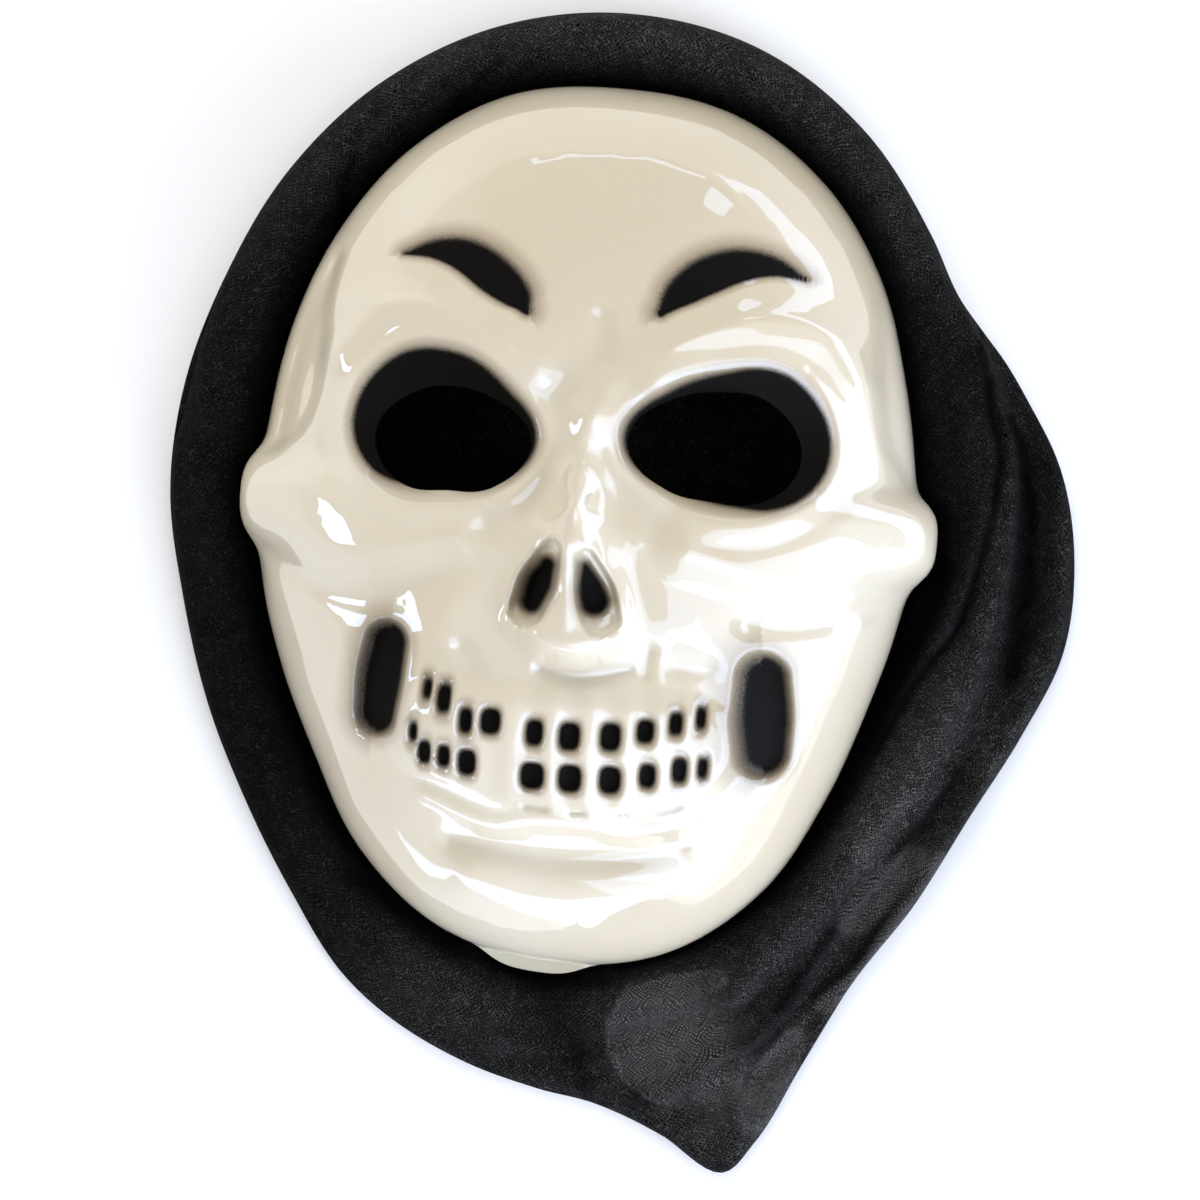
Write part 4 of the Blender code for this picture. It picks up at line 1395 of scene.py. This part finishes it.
@dataclass
class Studio:
    """The pale floor, the soft lights and the camera."""

    photo_side: float = 1200.0
    pixels_per_mm: float = 3.45
    photo_roll: float = 5.0
    camera_over: tuple[float, float] = (40.0, -21.0)
    camera_height: float = 700.0
    plan_pixel: tuple[float, float] = (588.0, 525.0)
    sensor: float = 36.0
    clip_start: float = 0.01
    daylight: Station = (0.68, 0.90, 1.34)
    key_colour: Station = (0.86, 0.98, 1.24)
    base_light: float = 0.68
    floor_side: float = 6.0

    def plan_place(self, pixel: tuple[float, float]) -> Array:
        """Find where a pixel of the photograph falls on the floor.

        Args:
            pixel: The pixel's place, from the photograph's upper left corner.

        Returns:
            The place in the plan, in millimetres.
        """
        turn = np.radians(self.photo_roll)
        across = pixel[0] - self.plan_pixel[0]
        up = self.plan_pixel[1] - pixel[1]
        x = across * np.cos(turn) - up * np.sin(turn)
        y = across * np.sin(turn) + up * np.cos(turn)
        return np.array((x, y)) / self.pixels_per_mm

    def camera(self) -> None:
        """Set the camera over the mask, aimed at the photograph's middle and rolled as it is."""
        middle = self.photo_side / 2
        aim = Vector(to_frame(np.array((*self.plan_place((middle, middle)), 0.0))))
        stand = Vector(to_frame(np.array((*self.camera_over, self.camera_height))))
        turn = np.radians(90 + self.photo_roll)
        back = (stand - aim).normalized()
        up = Vector((np.cos(turn), np.sin(turn), 0.0))
        up = (up - back * up.dot(back)).normalized()
        right = up.cross(back)
        data = bpy.data.cameras.new("camera")
        data.sensor_width = self.sensor
        width = self.photo_side / self.pixels_per_mm * MM
        data.lens = self.sensor * (stand - aim).length / width
        data.clip_start = self.clip_start
        camera = bpy.data.objects.new("camera", data)
        turned = Matrix((right, up, back)).transposed()
        camera.matrix_world = Matrix.Translation(stand) @ turned.to_4x4()
        bpy.context.scene.collection.objects.link(camera)
        bpy.context.scene.camera = camera

    def panel(self, name: str, place: Station, size: tuple[float, float], power: float,
              aim: Station = (0.0, 0.0, 0.03), colour: Station = (1.0, 1.0, 1.0)) -> None:
        """Add a soft panel of light that doesn't show in the gloss.

        Args:
            name: The panel's name.
            place: Its middle, in metres.
            size: Its width and height, in metres.
            power: Its power in watts.
            aim: The place that it faces.
            colour: The colour of its light.
        """
        data = bpy.data.lights.new(name, "AREA")
        data.shape = "RECTANGLE"
        data.size, data.size_y = size
        data.energy = power
        data.color = colour
        lamp = bpy.data.objects.new(name, data)
        lamp.visible_glossy = False
        lamp.location = place
        away = Vector(place) - Vector(aim)
        lamp.rotation_euler = away.to_track_quat("Z", "Y").to_euler()
        bpy.context.scene.collection.objects.link(lamp)

    def glow(self, name: str, place: Station, size: tuple[float, float], radiance: float,
             aim: Station = (0.0, 0.0, 0.03)) -> None:
        """Add a bright panel that shows only in the gloss, such as a window beside the mask.

        Args:
            name: The panel's name.
            place: Its middle, in metres.
            size: Its width and height, in metres.
            radiance: How bright it looks, where 1 is white.
            aim: The place that it faces.
        """
        self.panel(name, place, size, radiance * np.pi * size[0] * size[1], aim, self.daylight)
        lamp = bpy.data.objects[name]
        lamp.visible_glossy = True
        lamp.visible_camera = False
        lamp.visible_diffuse = False
        lamp.visible_transmission = False

    def lights(self) -> None:
        """Light the mask with a window on the right, strips over the forehead and soft fill."""
        # name, place, size, and then power or radiance
        self.panel("key", (0.98, -0.95, 0.52), (1.4, 1.0), 23.0, colour=self.key_colour)
        self.panel("fill", (-0.25, 1.3, 1.0), (1.1, 0.8), 11.0)
        self.panel("left fill", (-1.3, -0.5, 0.45), (1.0, 0.8), 4.0)
        self.glow("window", (0.99, -0.46, 0.80), (1.45, 2.1), 3.0)
        self.glow("low window", (0.66, -1.0, 0.70), (1.3, 1.8), 2.8)
        self.glow("side lamp", (-1.12, -0.14, 0.25), (0.40, 0.26), 8.0)
        self.glow("table", (0.72, -0.9, 0.003), (1.7, 1.5), 2.8, (0.72, -0.9, 1.0))
        self.glow("far table", (0.85, 0.15, 0.003), (1.4, 0.7), 2.8, (0.85, 0.15, 1.0))
        self.glow("strip", (0.0, 1.3, 0.06), (0.8, 0.04), 3.0)
        self.glow("short strip", (0.5, 1.1, 0.2), (0.20, 0.16), 3.4)
        world = bpy.data.worlds.new("studio")
        world.use_nodes = True
        world.node_tree.nodes["Background"].inputs[0].default_value = (1, 1, 1, 1)
        world.node_tree.nodes["Background"].inputs[1].default_value = self.base_light
        bpy.context.scene.world = world
        bpy.context.scene.view_settings.view_transform = "Standard"

    def floor(self) -> None:
        """Add the pale floor, a wide flat grid just under the cloth."""
        half = self.floor_side / 2
        corners = ((-half, -half, 0), (half, -half, 0), (half, half, 0), (-half, half, 0))
        mesh = bpy.data.meshes.new("floor")
        mesh.from_pydata(corners, [], [(0, 1, 2, 3)])
        mesh.materials.append(PaleFloor().make())
        floor = bpy.data.objects.new("floor", mesh)
        bpy.context.scene.collection.objects.link(floor)


def main() -> None:
    """Build the pieces in order, and set them in the studio."""
    logging.basicConfig(level=logging.INFO, format="%(name)s: %(message)s")
    studio = Studio()
    studio.camera()
    shell = MaskShell()
    face = shell.build()
    face.data.materials.append(IvoryPlastic().make())
    LOG.info("%s: %d vertices", face.name, len(face.data.vertices))
    hood = Hood(shell).build()
    hood.data.materials.append(SheerCloth().make())
    LOG.info("%s: %d vertices", hood.name, len(hood.data.vertices))
    studio.lights()
    studio.floor()


if __name__ == "__main__":
    main()
